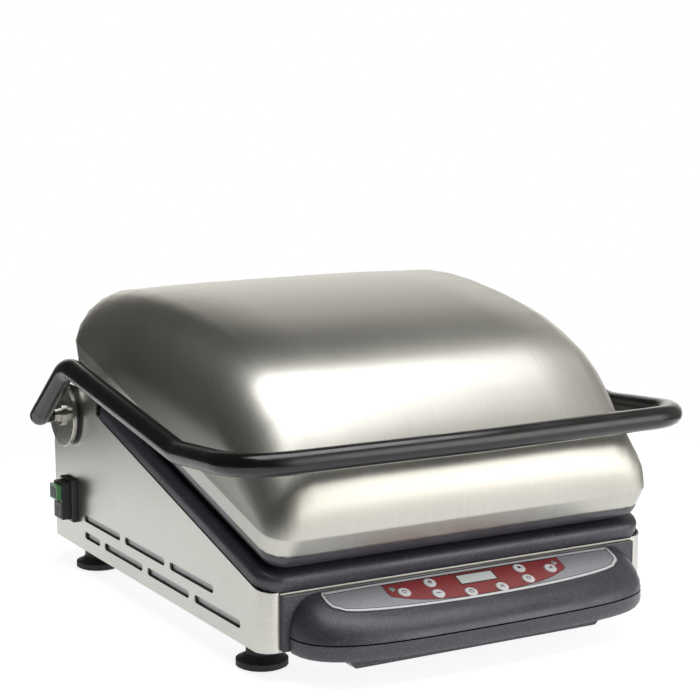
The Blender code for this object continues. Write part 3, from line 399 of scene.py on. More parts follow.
@dataclass(frozen=True)
class HatchedPrint(Finish):
    """Screen-printed field of fine diagonal lines under a satin polyester film.

    The real lines are about 1 mm apart. They are drawn 3.4 mm apart so that they show.
    """

    line: str = "571A1E"
    pitch_mm: float = 3.4

    def pattern(self, tree: bpy.types.NodeTree, skin: bpy.types.Node) -> None:
        """Diagonal lines in two shades."""
        point = self.place(tree)
        scale = per_metre(self.pitch_mm) * 0.707
        along = add_node(tree, "ShaderNodeVectorMath", {"operation": "DOT_PRODUCT"},
                         {0: point, 1: (scale, scale * 0.928, scale * 0.371)})
        part = add_node(tree, "ShaderNodeMath", {"operation": "FRACT"},
                        {0: along.outputs["Value"]})
        line = add_node(tree, "ShaderNodeMath", {"operation": "PINGPONG"},
                        {0: part.outputs[0], 1: 0.5})
        self.shade(tree, skin, self.spread(tree, line.outputs[0], 0.0, 1.0, 0.16, 0.30),
                   self.line, self.colour)
        self.relief(tree, skin, self.noise(tree, point, 0.8), 0.01, 0.3)


@dataclass(frozen=True)
class SatinFilm(Finish):
    """Polyester film printed silver on its back: satin, with a very fine metallic grain."""

    dark: str = "93949A"

    def pattern(self, tree: bpy.types.NodeTree, skin: bpy.types.Node) -> None:
        """Fine metallic flake of 0.6 mm."""
        point = self.place(tree)
        flake = self.noise(tree, point, 0.6, 1.0)
        self.shade(tree, skin, self.spread(tree, flake, 0.0, 1.0), self.dark, self.colour)
        self.relief(tree, skin, flake, 0.006, 0.3)


@dataclass(frozen=True)
class DisplayPane(Finish):
    """Clear pane over a reflective liquid-crystal cell: pale, slightly green, glossy."""

    ghost: str = "B4BAB8"

    def pattern(self, tree: bpy.types.NodeTree, skin: bpy.types.Node) -> None:
        """Faint unlit segments, 2.6 mm apart."""
        point = self.place(tree)
        scaled = add_node(tree, "ShaderNodeVectorMath", {"operation": "SCALE"},
                          {0: point, "Scale": per_metre(2.6)})
        cell = add_node(tree, "ShaderNodeTexBrick",
                        {"offset": 0.0}, {"Vector": scaled.outputs[0], "Scale": 1.0,
                                          "Mortar Size": 0.06, "Color1": linear(self.colour),
                                          "Color2": linear(self.colour),
                                          "Mortar": linear(self.ghost)})
        tree.links.new(cell.outputs["Color"], skin.inputs["Base Color"])
        skin.inputs["Coat Weight"].default_value = 0.8
        self.relief(tree, skin, self.noise(tree, point, 3.0), 0.003, 0.2)


class Look(Enum):
    """Every finish on the grill. Each member says what it is and how it was made."""

    DOME = BrushedStainless("brushed_stainless_dome", "B9B8B2", 0.38, 1.0,
                            grain=Grain.UP_AND_OVER, edge_mm=3.0)
    SIDE = BrushedStainless("brushed_stainless_side", "C0BFB9", 0.30, 1.0,
                            grain=Grain.LENGTHWISE, light="CDCCC6", dark="B7B6B0")
    CROSS = BrushedStainless("brushed_stainless_cross", "B4B3AC", 0.32, 1.0,
                             grain=Grain.CROSSWISE)
    TURNED = BrushedStainless("turned_stainless", "BDBCB6", 0.22, 1.0, grain=Grain.UPRIGHT,
                              scratch_mm=0.6, run_mm=12.0)
    SHEET = RolledSheet("rolled_sheet_steel", "A6A7A7", 0.40, 1.0)
    TEXTURED = TexturedMoulding("textured_dark_moulding", "313039", 0.35, ior=1.5)
    ENAMEL = SmoothCoat("satin_stoved_enamel", "36363D", 0.34, ior=1.5, coat=0.15)
    HANDLE = SmoothCoat("powder_coated_steel_tube", "0C0D0F", 0.22, ior=1.5, dust="111215",
                        depth_mm=0.006)
    RUBBER = SmoothCoat("moulded_rubber", "141416", 0.62, ior=1.52, dust="2A2A2A",
                        peel_mm=1.2, depth_mm=0.03)
    CAST = CastIron("seasoned_cast_iron", "1E1E1F", 0.48, 0.35)
    SHEATH = RolledSheet("heat_tinted_sheath", "6A625A", 0.40, 1.0, dark="4A423D")
    FILM = SatinFilm("silver_polyester_film", "A3A4AB", 0.34, 0.35, dark="82848C", edge_mm=0.1)
    BORDER = SatinFilm("silver_ink_border", "DCDDE0", 0.30, 0.30, dark="CBCCD1", edge_mm=0.05)
    RED_PRINT = HatchedPrint("red_hatched_print", "96383B", 0.34, edge_mm=0.05)
    LINE_PRINT = SmoothCoat("black_line_print", "151518", 0.40, dust="1E1E22", edge_mm=0.05)
    GLASS = DisplayPane("display_pane", "D9DCDA", 0.14, ior=1.49, edge_mm=0.1)
    LENS = SmoothCoat("smoked_lamp_lens", "7F8086", 0.12, ior=1.49, coat=0.5, edge_mm=0.1)
    KEY = SatinFilm("satin_key_cap", "D0D0D2", 0.38, dark="B9B9BC", edge_mm=0.25)
    BOARD = SmoothCoat("solder_resist_board", "1F5A36", 0.35, dust="2C6B45", edge_mm=0.1)
    BLACK = SmoothCoat("black_polyamide", "1D1E20", 0.40, ior=1.53, depth_mm=0.02,
                       peel_mm=1.0)
    GREEN = SmoothCoat("green_polycarbonate", "3F8248", 0.22, ior=1.58, dust="4E9156",
                       coat=0.3)
    WIRE = RolledSheet("drawn_spring_wire", "8C8D8F", 0.30, 1.0, dark="5E5F61")


class Palette:
    """Builds each finish once."""

    def __init__(self) -> None:
        """Start with nothing built."""
        self.made: dict[Look, bpy.types.Material] = {}

    def get(self, look: Look) -> bpy.types.Material:
        """Return the material of a look, and build it the first time."""
        if look not in self.made:
            self.made[look] = look.value.build()
        return self.made[look]


# ---------------------------------------------------------------- mesh tools
def angle_normals(mesh: bpy.types.Mesh, limit_deg: float,
                  crease: tuple[Vector, float] | None = None) -> None:
    """Shade a mesh smooth across every edge flatter than a limit.

    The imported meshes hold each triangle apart, so corners at one place are found by
    position and their faces' normals are averaged by corner angle.

    Args:
        mesh: mesh to shade; its vertices stay where they are.
        limit_deg: sharpest edge that is still shaded smooth.
        crease: normal and distance of a plane; an edge that lies in it stays creased.
    """
    count = len(mesh.polygons)
    co = np.zeros(len(mesh.vertices) * 3, np.float64)
    mesh.vertices.foreach_get("co", co)
    co = co.reshape(-1, 3)
    vert = np.zeros(len(mesh.loops), np.int64)
    mesh.loops.foreach_get("vertex_index", vert)
    corner = co[vert].reshape(count, 3, 3)
    face = np.cross(corner[:, 1] - corner[:, 0], corner[:, 2] - corner[:, 0])
    size = np.linalg.norm(face, axis=1, keepdims=True)
    face = face / np.maximum(size, 1e-15)
    above = np.zeros(count, bool)
    if crease:
        above = corner.mean(axis=1) @ np.array(crease[0]) > crease[1]
    weight = np.zeros((count, 3))
    for i in range(3):
        a = corner[:, (i + 1) % 3] - corner[:, i]
        b = corner[:, (i + 2) % 3] - corner[:, i]
        dot = (a * b).sum(1) / np.maximum(np.linalg.norm(a, axis=1) * np.linalg.norm(b, axis=1),
                                          1e-15)
        weight[:, i] = np.arccos(np.clip(dot, -1, 1))
    keys = np.round(corner.reshape(-1, 3) / WELD).astype(np.int64)
    _, group = np.unique(keys, axis=0, return_inverse=True)
    group = group.reshape(-1)
    order = np.argsort(group, kind="stable")
    bounds = np.searchsorted(group[order], np.arange(group.max() + 2))
    limit = math.cos(math.radians(limit_deg))
    result = np.zeros((count * 3, 3))
    flat_weight = weight.reshape(-1)
    for g in range(len(bounds) - 1):
        members = order[bounds[g]:bounds[g + 1]]
        normals = face[members // 3]
        half = above[members // 3]
        near = (normals @ normals.T >= limit) & (half[:, None] == half[None, :])
        total = near @ (normals * flat_weight[members, None])
        result[members] = total
    length = np.linalg.norm(result, axis=1, keepdims=True)
    result = np.where(length > TINY, result / np.maximum(length, TINY), np.repeat(face, 3, 0))
    mesh.polygons.foreach_set("use_smooth", np.ones(count, bool))
    mesh.normals_split_custom_set(result.tolist())


def new_object(name: str, bm: bmesh.types.BMesh, place: Matrix) -> bpy.types.Object:
    """Turn a bmesh into an object whose mesh is in the row frame.

    Args:
        name: name of the piece.
        bm: shape, used up.
        place: matrix that puts the shape in the row frame.

    Returns:
        The new object.
    """
    bmesh.ops.recalc_face_normals(bm, faces=bm.faces)
    bm.transform(place)
    mesh = bpy.data.meshes.new(name)
    bm.to_mesh(mesh)
    bm.free()
    obj = bpy.data.objects.new(name, mesh)
    bpy.context.scene.collection.objects.link(obj)
    return obj


def bridge(bm: bmesh.types.BMesh, first: Sequence[Any], second: Sequence[Any]) -> None:
    """Join two rings of the same number of vertices with a band of faces."""
    for i, a in enumerate(first):
        j = (i + 1) % len(first)
        bm.faces.new((a, first[j], second[j], second[i]))


def slab(bm: bmesh.types.BMesh, outline: Sequence[Point2], low: float, high: float) -> None:
    """Add a flat slab.

    Args:
        bm: mesh that takes the slab.
        outline: counter-clockwise outline.
        low: height of its lower face.
        high: height of its upper face.
    """
    bottom, top = ([bm.verts.new((x, y, z)) for x, y in outline] for z in (low, high))
    bm.faces.new(list(reversed(bottom)))
    bm.faces.new(top)
    bridge(bm, bottom, top)


def band(bm: bmesh.types.BMesh, outer: Sequence[Point2], inner: Sequence[Point2], low: float,
         high: float) -> None:
    """Add a closed band between two outlines.

    Args:
        bm: mesh that takes the band.
        outer: outer outline.
        inner: inner outline, with as many points.
        low: height of its lower face.
        high: height of its upper face.
    """
    rings = [[bm.verts.new((x, y, z)) for x, y in line]
             for line, z in ((outer, low), (outer, high), (inner, high), (inner, low))]
    for r in range(4):
        bridge(bm, rings[r], rings[(r + 1) % 4])


def circle(x: float, y: float, radius: float, steps: int = 28, turn: float = 360.0,
           start: float = 0.0) -> list[Point2]:
    """Return points round a circle, or along an arc of it.

    Args:
        x: middle of the circle.
        y: middle of the circle.
        radius: radius of the circle.
        steps: number of chords.
        turn: length of the arc in degrees.
        start: direction of the first point in degrees.

    Returns:
        The points, counter-clockwise.
    """
    last = steps if turn < 360.0 else steps - 1
    return [(x + radius * math.cos(math.radians(start + turn * i / steps)),
             y + radius * math.sin(math.radians(start + turn * i / steps)))
            for i in range(last + 1)]


def rectangle(x: float, y: float, wide: float, tall: float) -> list[Point2]:
    """Return a rectangle round a point, from its half width and half height."""
    return [(x - wide, y - tall), (x + wide, y - tall), (x + wide, y + tall),
            (x - wide, y + tall)]


def inset_outline(outline: Sequence[Point2], distance: float) -> list[Point2]:
    """Move an outline inward.

    Args:
        outline: counter-clockwise outline.
        distance: how far it moves.

    Returns:
        The inner outline, with as many points.
    """
    count = len(outline)
    moved = []
    for i in range(count):
        a, b, c = (Vector(outline[(i + k) % count]) for k in (-1, 0, 1))
        before, after = (b - a).normalized(), (c - b).normalized()
        n1, n2 = Vector((-before.y, before.x)), Vector((-after.y, after.x))
        both = n1 + n2
        both = both / max(both.length_squared, 0.4) * 2
        spot = b + both * distance
        moved.append((spot.x, spot.y))
    return moved


def rounded_outline(outline: Sequence[Point2], passes: int = 2) -> list[Point2]:
    """Round every corner of an outline by cutting it a quarter in, more than once.

    Args:
        outline: outline to round.
        passes: how often it is cut.

    Returns:
        The rounded outline.
    """
    points = list(outline)
    for _ in range(passes):
        cut: list[Point2] = []
        for a, b in zip(points, points[1:] + points[:1]):
            cut.append((a[0] * 0.75 + b[0] * 0.25, a[1] * 0.75 + b[1] * 0.25))
            cut.append((a[0] * 0.25 + b[0] * 0.75, a[1] * 0.25 + b[1] * 0.75))
        points = cut
    return points


def carve(obj: bpy.types.Object, cutters: Iterable[tuple[float, float, float, float]],
          place: Matrix) -> None:
    """Cut round or rectangular holes through a thin piece.

    Args:
        obj: piece to cut.
        cutters: (x, y, half width, half height); a height of 0 makes a round hole.
        place: matrix of the plane the piece lies on.
    """
    bm = bmesh.new()
    for x, y, wide, tall in cutters:
        line = rectangle(x, y, wide, tall) if tall else circle(x, y, wide, 32)
        slab(bm, line, CUT_LOW, CUT_HIGH)
    tool = new_object("tool", bm, place)
    cut = obj.modifiers.new("cut", "BOOLEAN")
    cut.operation = "DIFFERENCE"
    cut.solver = "EXACT"
    cut.object = tool
    bpy.context.view_layer.update()
    graph = bpy.context.evaluated_depsgraph_get()
    mesh = bpy.data.meshes.new_from_object(obj.evaluated_get(graph))
    obj.modifiers.remove(cut)
    obj.data = mesh
    bpy.data.objects.remove(tool)


# ---------------------------------------------------------------- sub-assemblies
@dataclass
class Assembly:
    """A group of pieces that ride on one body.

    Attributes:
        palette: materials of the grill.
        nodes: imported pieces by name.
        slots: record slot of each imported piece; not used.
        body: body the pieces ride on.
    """

    palette: Palette
    nodes: dict[str, bpy.types.Object]
    slots: dict[str, str]
    body: str = "base"

    def dress(self, name: str, look: Look, smooth_deg: float = 30.0,
              crease: tuple[Vector, float] | None = None) -> bpy.types.Object:
        """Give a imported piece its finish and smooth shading.

        Args:
            name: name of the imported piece.
            look: finish it takes.
            smooth_deg: sharpest edge that is shaded smooth.
            crease: plane whose edges stay creased.

        Returns:
            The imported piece.
        """
        obj = self.nodes[name]
        obj.data.materials.clear()
        obj.data.materials.append(self.palette.get(look))
        angle_normals(obj.data, smooth_deg, crease)
        LOG.info("dressed %s as %s", name, look.value.name)
        return obj

    def add(self, obj: bpy.types.Object, look: Look, slot: str, body: str | None = None,
            smooth: bool = False) -> bpy.types.Object:
        """Finish a new piece and let it ride on its body.

        Args:
            obj: new piece, already in place.
            look: finish it takes.
            slot: record slot the finish belongs to; not used.
            body: body it rides on, if not the assembly's own.
            smooth: shade it smooth.

        Returns:
            The piece.
        """
        obj.data.materials.clear()
        obj.data.materials.append(self.palette.get(look))
        obj.data.polygons.foreach_set("use_smooth", [smooth] * len(obj.data.polygons))
        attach(obj, body or self.body)
        LOG.info("added %s on %s", obj.name, body or self.body)
        return obj

    def build(self) -> None:
        """Make and dress the pieces of this group."""
        raise NotImplementedError


@dataclass
class SteelBase(Assembly):
    """Folded side panels, cross rail, floor and back of the base, with feet and screws.

    Attributes:
        screw_radius, screw_rise: size of a screw's head.
        screw_inset: distance of the screws from the panel's edges.
        screw_profile: shares of radius and rise, from the rim of a head to its crown.
        baffle_depth: distance of the vent baffles from the panel's outer face.
        baffle_sheet, baffle_end, baffle_top: thickness, end gap and top of a baffle.
    """

    screw_radius: float = 3.2 * MM
    screw_rise: float = 1.3 * MM
    screw_inset: float = 13.0 * MM
    screw_profile: tuple[Point2, ...] = ((1.0, 0.02), (1.0, 0.35), (0.86, 0.75), (0.6, 0.98))
    baffle_depth: float = 3.1 * MM
    baffle_sheet: float = 0.6 * MM
    baffle_end: float = 22.0 * MM
    baffle_top: float = 78.0 * MM

    def build(self) -> None:
        """Dress the base and add the vent baffles and the screws of its back."""
        for side in ("left", "right"):
            self.dress(f"side_panel_{side}", Look.SIDE)
            self.dress(f"bearing_{side}", Look.BLACK)
            self.dress(f"counter_spring_{side}", Look.WIRE, 50)
            self.dress(f"foot_front_{side}", Look.RUBBER, 40)
            self.dress(f"foot_rear_{side}", Look.RUBBER, 40)
        self.dress("front_cross_rail", Look.CROSS)
        self.dress("front_panel", Look.TEXTURED)
        for name in ("bottom_plate", "rear_panel", "rear_deck"):
            self.dress(name, Look.SHEET)
        self.dress("cable_gland", Look.BLACK, 40)
        self.add_baffles()
        self.add_rear_screws()

    def add_baffles(self) -> None:
        """Add the inner sheet behind the vent slots of each side panel."""
        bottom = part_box("bottom_plate")[1].z + 1.0 * MM
        for side, sign in (("left", -1), ("right", 1)):
            low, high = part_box(f"side_panel_{side}")
            wall = max(abs(low.x), abs(high.x)) - self.baffle_depth
            bm = bmesh.new()
            half_y = (high.y - low.y) / 2 - self.baffle_end
            half_z = (self.baffle_top - bottom) / 2
            slab(bm, rectangle((low.y + high.y) / 2, bottom + half_z, half_y, half_z),
                 -self.baffle_sheet / 2, self.baffle_sheet / 2)
            place = Matrix(((0, 0, 1, sign * wall), (1, 0, 0, 0), (0, 1, 0, 0), (0, 0, 0, 1)))
            self.add(new_object(f"vent_baffle_{side}", bm, place), Look.SHEET,
                     "plain_sheet_steel")

    def add_rear_screws(self) -> None:
        """Add pan-head screws with a cross recess along the edges of the rear panel."""
        low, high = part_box("rear_panel")
        rows = (low.z + self.screw_inset, high.z - self.screw_inset)
        reach = high.x - self.screw_inset
        for r, z in enumerate(rows):
            for c, x in enumerate((-reach, -reach / 3, reach / 3, reach)):
                place = Matrix.Translation((x, high.y, z)) @ Matrix.Rotation(
                    math.radians(-90), 4, "X")
                obj = new_object(f"rear_screw_{r}{c}", self.screw(), place)
                self.add(obj, Look.WIRE, "spring_steel", smooth=False)

    def screw(self) -> bmesh.types.BMesh:
        """Return a domed screw head with a cross recess."""
        bm = bmesh.new()
        rings = []
        for share, rise in self.screw_profile:
            rings.append([bm.verts.new((x, y, self.screw_rise * rise)) for x, y in
                          circle(0, 0, self.screw_radius * share, 24)])
        for a, b in zip(rings, rings[1:]):
            bridge(bm, a, b)
        bm.faces.new(list(reversed(rings[0])))
        deep = []
        for i, (x, y) in enumerate(circle(0, 0, self.screw_radius * 0.52, 24)):
            share = 0.5 if i % 6 in (2, 3, 4) else 0.95
            deep.append(bm.verts.new((x * share, y * share, self.screw_rise * 0.55)))
        bridge(bm, rings[-1], deep)
        bm.faces.new(deep)
        return bm


@dataclass
class LowerGrill(Assembly):
    """Cast lower plate in its dark frame, with its element, shield and drain."""

    def build(self) -> None:
        """Dress the lower half of the grill."""
        self.dress("lower_frame", Look.TEXTURED)
        self.dress("lower_grill_plate", Look.CAST, 25)
        self.dress("drain_chute", Look.SHEATH)
        self.dress("lower_heating_element", Look.SHEATH, 50)
        self.dress("lower_heat_shield", Look.SHEET)


@dataclass
class Keypad(Assembly):
    """Membrane keypad on the tilted console face, with printed fields and key symbols.

    Attributes:
        line_inset: distance of the printed line from the film's edge.
        line_wide: width of the printed line.
        border_start: distance of the silver border from the film's edge.
        ink: thickness of the printed layers.
        end_radius: how far the film's straight edge stops short of its side.
        smile_inset, smile_start, smile_depth: place and depth of the curved lower edge.
        key_radius, key_margin: radius of a key and the gap printed round it.
        lamp_hole: radius of the opening for a lamp.
        pane_half: half of the display's opening.
        bezel_wide: width of the frame printed round the display.
        red_edge: width of the line round the red field.
        end_mm: film's side, as (out, up) in millimetres.
        red_half: half of the red field, as (across, down the face).
        place: matrix of the film's plane.
    """

    line_inset: float = 3.0 * MM
    line_wide: float = 0.75 * MM
    border_start: float = 0.3 * MM
    ink: float = 0.12 * MM
    end_radius: float = 2.4 * MM
    smile_inset: float = 6.0 * MM
    smile_start: float = 27.5 * MM
    smile_depth: float = 15.0 * MM
    key_radius: float = 6.2 * MM
    key_margin: float = 0.35 * MM
    lamp_hole: float = 3.5 * MM
    pane_half: Point2 = (20.6 * MM, 7.3 * MM)
    bezel_wide: float = 1.1 * MM
    red_edge: float = 0.5 * MM
    end_mm: tuple[Point2, ...] = ((0.0, -0.5), (2.2, -4.0), (2.4, -16.0), (0.0, -23.5))
    red_half: tuple[Point2, ...] = (
        (0.098, 0.0045), (0.098, 0.0200), (0.0955, 0.0232), (0.0890, 0.0262), (0.0800, 0.0300),
        (0.0690, 0.0332), (0.0550, 0.0359), (0.0400, 0.0377), (0.0200, 0.0386))
    place: Matrix = field(default_factory=lambda: Matrix.Identity(4))

    def build(self) -> None:
        """Dress the film, keys and lamps, and add prints and symbols."""
        self.dress("console_housing", Look.TEXTURED, 40)
        self.dress("keypad_overlay", Look.FILM, 20)
        self.dress("lcd_window", Look.GLASS, 20)
        self.dress("control_board", Look.BOARD, 20)
        for side in ("left", "right"):
            self.dress(f"led_{side}", Look.LENS, 35)
        for i in range(1, 9):
            self.dress(f"key_{i}", Look.KEY, 35)
        self.find_face()
        self.add_line()
        self.add_red_field()
        self.add_bezel()
        self.add_symbols()

    def find_face(self) -> None:
        """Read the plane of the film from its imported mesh."""
        mesh = self.nodes["keypad_overlay"].data
        best = max(mesh.polygons, key=lambda p: p.area if p.normal.z > 0 else 0.0)
        out = best.normal.normalized()
        up = out.cross(Vector((1.0, 0.0, 0.0))).normalized()
        points = [v.co for v in mesh.vertices]
        level = max(p.dot(out) for p in points)
        top = max(p.dot(up) for p in points) + 0.5 * MM
        self.place = Matrix(((1, up.x, out.x, 0), (0, up.y, out.y, 0), (0, up.z, out.z, 0),
                             (0, 0, 0, 1))).to_4x4()
        self.place.translation = up * top + out * level

    def level(self, node: str) -> float:
        """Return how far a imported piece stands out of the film's plane."""
        turn = self.place.inverted()
        return max((turn @ vert.co).z for vert in self.nodes[node].data.vertices)

    def add_print(self, name: str, outer: Sequence[Point2], inner: Sequence[Point2],
                  heights: Point2, look: Look) -> None:
        """Add one printed band on the film.

        Args:
            name: name of the piece.
            outer: outer outline.
            inner: inner outline.
            heights: lower and upper face over the film's plane.
            look: finish it takes.
        """
        bm = bmesh.new()
        band(bm, outer, inner, *heights)
        self.add(new_object(name, bm, self.place), look, "keypad_film")

    def spot(self, node: str) -> Point2:
        """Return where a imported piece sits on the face, as (across, up)."""
        low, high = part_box(node)
        local = self.place.inverted() @ ((low + high) / 2)
        return local.x, local.y

    def film_outline(self) -> list[Point2]:
        """Return the film's outline: straight top, smile-shaped lower edge."""
        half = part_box("keypad_overlay")[1].x - self.end_radius
        reach = half - self.smile_inset
        end = [(half + out * MM, down * MM) for out, down in self.end_mm]
        points: list[Point2] = [(-x, y) for x, y in end]
        for i in range(33):
            turn = math.pi * i / 32
            points.append((-reach * math.cos(turn),
                           -self.smile_start - self.smile_depth * math.sin(turn)))
        return points + list(reversed(end))

    def holes(self) -> list[tuple[float, float, float, float]]:
        """Return the openings for keys, lamps and the display."""
        found = []
        for i in range(1, 9):
            found.append((*self.spot(f"key_{i}"), self.key_radius + self.key_margin, 0.0))
        for side in ("left", "right"):
            found.append((*self.spot(f"led_{side}"), self.lamp_hole, 0.0))
        found.append((*self.spot("lcd_window"), *self.pane_half))
        return found

    def add_line(self) -> None:
        """Add the bright border of the film and the thin dark line inside it."""
        whole = rounded_outline(self.film_outline())
        edge = inset_outline(whole, self.border_start)
        outer = inset_outline(whole, self.line_inset)
        inner = inset_outline(outer, self.line_wide)
        self.add_print("keypad_silver_border", edge, outer, (0.0, self.ink), Look.BORDER)
        self.add_print("keypad_border_line", outer, inner, (0.0, self.ink * 1.1),
                       Look.LINE_PRINT)

    def add_red_field(self) -> None:
        """Add the red hatched field with holes for keys, lamps and the display."""
        right = [(x, -y) for x, y in self.red_half]
        outline = right + [(0.0, -0.0389)] + [(-x, y) for x, y in reversed(right)]
        bm = bmesh.new()
        slab(bm, outline, 0.0, self.ink * 0.8)
        obj = new_object("keypad_red_field", bm, self.place)
        carve(obj, self.holes(), self.place)
        self.add(obj, Look.RED_PRINT, "keypad_film")
        rim = list(reversed(outline))
        self.add_print("keypad_red_border", rim, inset_outline(rim, self.red_edge),
                       (self.ink * 0.9, self.ink * 1.3), Look.LINE_PRINT)

    def add_bezel(self) -> None:
        """Add the dark frame printed round the display."""
        outer = rectangle(*self.spot("lcd_window"), *self.pane_half)
        self.add_print("display_bezel", outer, inset_outline(outer, self.bezel_wide),
                       (self.ink * 0.2, self.level("lcd_window") + self.ink), Look.LINE_PRINT)

    def symbols(self) -> dict[int, list[list[Point2]]]:
        """Return the outlines of each key's symbol, in metres round the key's middle."""
        def bar(x: float, y: float, wide: float, tall: float) -> list[Point2]:
            """Return a rectangle, in millimetres."""
            return rectangle(x * MM, y * MM, wide / 2 * MM, tall / 2 * MM)

        def ring(radius: float, wide: float, turn: float, start: float) -> list[Point2]:
            """Return a thick arc, in millimetres and degrees."""
            outer = circle(0, 0, (radius + wide / 2) * MM, 24, turn, start)
            inner = circle(0, 0, (radius - wide / 2) * MM, 24, turn, start)
            return outer + list(reversed(inner))

        tip = [(2.9 * MM, 1.3 * MM), (0.9 * MM, 1.3 * MM), (1.9 * MM, -0.5 * MM)]
        return {
            1: [ring(1.9, 0.8, 290, 20), tip],
            2: [bar(0, 0, 5.0, 1.1), bar(0, 1.6, 1.1, 2.0), bar(0, -1.6, 1.1, 2.0)],
            3: [bar(0, 0, 5.0, 1.1)],
            4: [ring(2.2, 0.7, 350, 95), bar(0.4, 0.6, 0.6, 2.0)],
            5: [bar(-1.1, 0, 1.0, 3.8), bar(1.1, 0, 1.0, 3.8)],
            6: [circle(0, 0, 1.7 * MM, 24)],
            7: [ring(1.9, 0.8, 350, 95)],
            8: [bar(-1.6, -0.9, 0.9, 1.6), bar(0, -0.4, 0.9, 2.6), bar(1.6, 0.1, 0.9, 3.6)],
        }

    def add_symbols(self) -> None:
        """Print each key's symbol on its cap, riding on the key."""
        for key, outlines in self.symbols().items():
            x, y = self.spot(f"key_{key}")
            level = self.level(f"key_{key}")
            bm = bmesh.new()
            for outline in outlines:
                slab(bm, [(x + a, y + b) for a, b in outline], level - 0.01 * MM,
                     level + self.ink)
            obj = new_object(f"key_{key}_symbol", bm, self.place)
            self.add(obj, Look.LINE_PRINT, "key_cap", f"key_{key}_body")


@dataclass
class PowerSwitch(Assembly):
    """No-volt switch on the left side, with a green button and a black one. A black plate on
    the green button's outer face is painted shade.

    Attributes:
        shade_plate_rise, shade_plate_inset: the black plate on the green button's face, which is
            painted shade.
        ring_radii, ring_rise: the ring on the black button.
        sink: how far the shade plate and the ring reach into their buttons.
    """

    shade_plate_rise: float = 0.35 * MM
    shade_plate_inset: float = 2.6 * MM
    ring_radii: Point2 = (3.2 * MM, 2.5 * MM)
    ring_rise: float = 0.12 * MM
    sink: float = 0.05 * MM

    def build(self) -> None:
        """Dress the switch, paint shade on the green button's face with a black plate, and add
        the ring mark of the black button.
        """
        self.dress("switch_housing", Look.BLACK, 20)
        self.dress("switch_on_button", Look.GREEN, 20)
        self.dress("switch_off_button", Look.BLACK, 20)
        # painted shade: a black plate over the green button's outer face, which lies in shade
        self.add_mark_and_shade_plate("switch_on_button", "switch_on", "black_plastic", Look.BLACK, True)
        self.add_mark_and_shade_plate("switch_off_button", "switch_off", "black_plastic", Look.BLACK, False)

    def add_mark_and_shade_plate(self, node: str, body: str, slot: str, look: Look, bar: bool) -> None:
        """Add a raised piece on a button's outer face: painted shade on the green one, a mark on
        the black one.

        Args:
            node: packed button.
            body: body of the button.
            slot: record slot of the mark.
            look: finish of the mark.
            bar: True gives a black plate, painted shade on the green button; False gives a ring,
                the black button's mark.
        """
        low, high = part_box(node)
        place = Matrix.Translation((low.x, (low.y + high.y) / 2, (low.z + high.z) / 2))
        place = place @ Matrix.Rotation(math.radians(-90), 4, "Y")
        bm = bmesh.new()
        tall = (high.z - low.z) / 2 - self.shade_plate_inset
        wide = (high.y - low.y) / 2 - self.shade_plate_inset
        # the plate is painted shade on the green button's face; the ring is the black button's
        # mark
        if bar:
            slab(bm, rectangle(0.0, 0.0, tall, wide), -self.sink, self.shade_plate_rise)
        else:
            outer, inner = (circle(0, 0, radius) for radius in self.ring_radii)
            band(bm, outer, inner, -self.sink, self.ring_rise)
        self.add(new_object(f"{node}_mark", bm, place), look, slot, body)


@dataclass
class LiftAssembly(Assembly):
    """Handle loop, shaft, discs, clamps and inner arms that swing about the rear hinge."""

    body: str = "lift_assembly"

    def build(self) -> None:
        """Dress the lifting parts."""
        self.dress("handle_tube", Look.HANDLE, 40)
        self.dress("hinge_shaft", Look.TURNED, 40)
        for side in ("left", "right"):
            self.dress(f"hinge_disc_{side}", Look.TURNED, 35)
            self.dress(f"handle_clamp_{side}", Look.HANDLE, 35)
            self.dress(f"clamp_screw_{side}", Look.WIRE, 35)
            self.dress(f"lift_arm_{side}", Look.SHEET, 25)


@dataclass
class FloatingHead(Assembly):
    """Domed cover, rim and upper plate, which float on the arms.

    Attributes:
        deck_slope: forward slope of the grill's deck, in degrees.
        crease_rise: height of the cover's crease above its lower edge.
    """

    body: str = "floating_head"
    deck_slope: float = 14.7
    crease_rise: float = 18.2 * MM

    def build(self) -> None:
        """Dress the head."""
        tilt = math.radians(self.deck_slope)
        up = Vector((0.0, -math.sin(tilt), math.cos(tilt)))
        foot = min(vert.co.dot(up) for vert in self.nodes["dome_cover"].data.vertices)
        self.dress("dome_cover", Look.DOME, 38, (up, foot + self.crease_rise))
        self.dress("upper_rim", Look.ENAMEL, 35)
        self.dress("upper_grill_plate", Look.CAST, 25)
        self.dress("upper_heating_element", Look.SHEATH, 50)
        self.dress("head_base_plate", Look.SHEET, 25)
        for side in ("left", "right"):
            self.dress(f"head_bracket_{side}", Look.SHEET, 25)
            self.dress(f"head_pin_{side}", Look.WIRE, 40)


@dataclass
class GreaseDrawer(Assembly):
    """Drawer front under the console and the pan behind it."""

    body: str = "grease_drawer"

    def build(self) -> None:
        """Dress the drawer."""
        self.dress("drawer_front", Look.TEXTURED, 40)
        self.dress("grease_pan", Look.SHEET, 25)


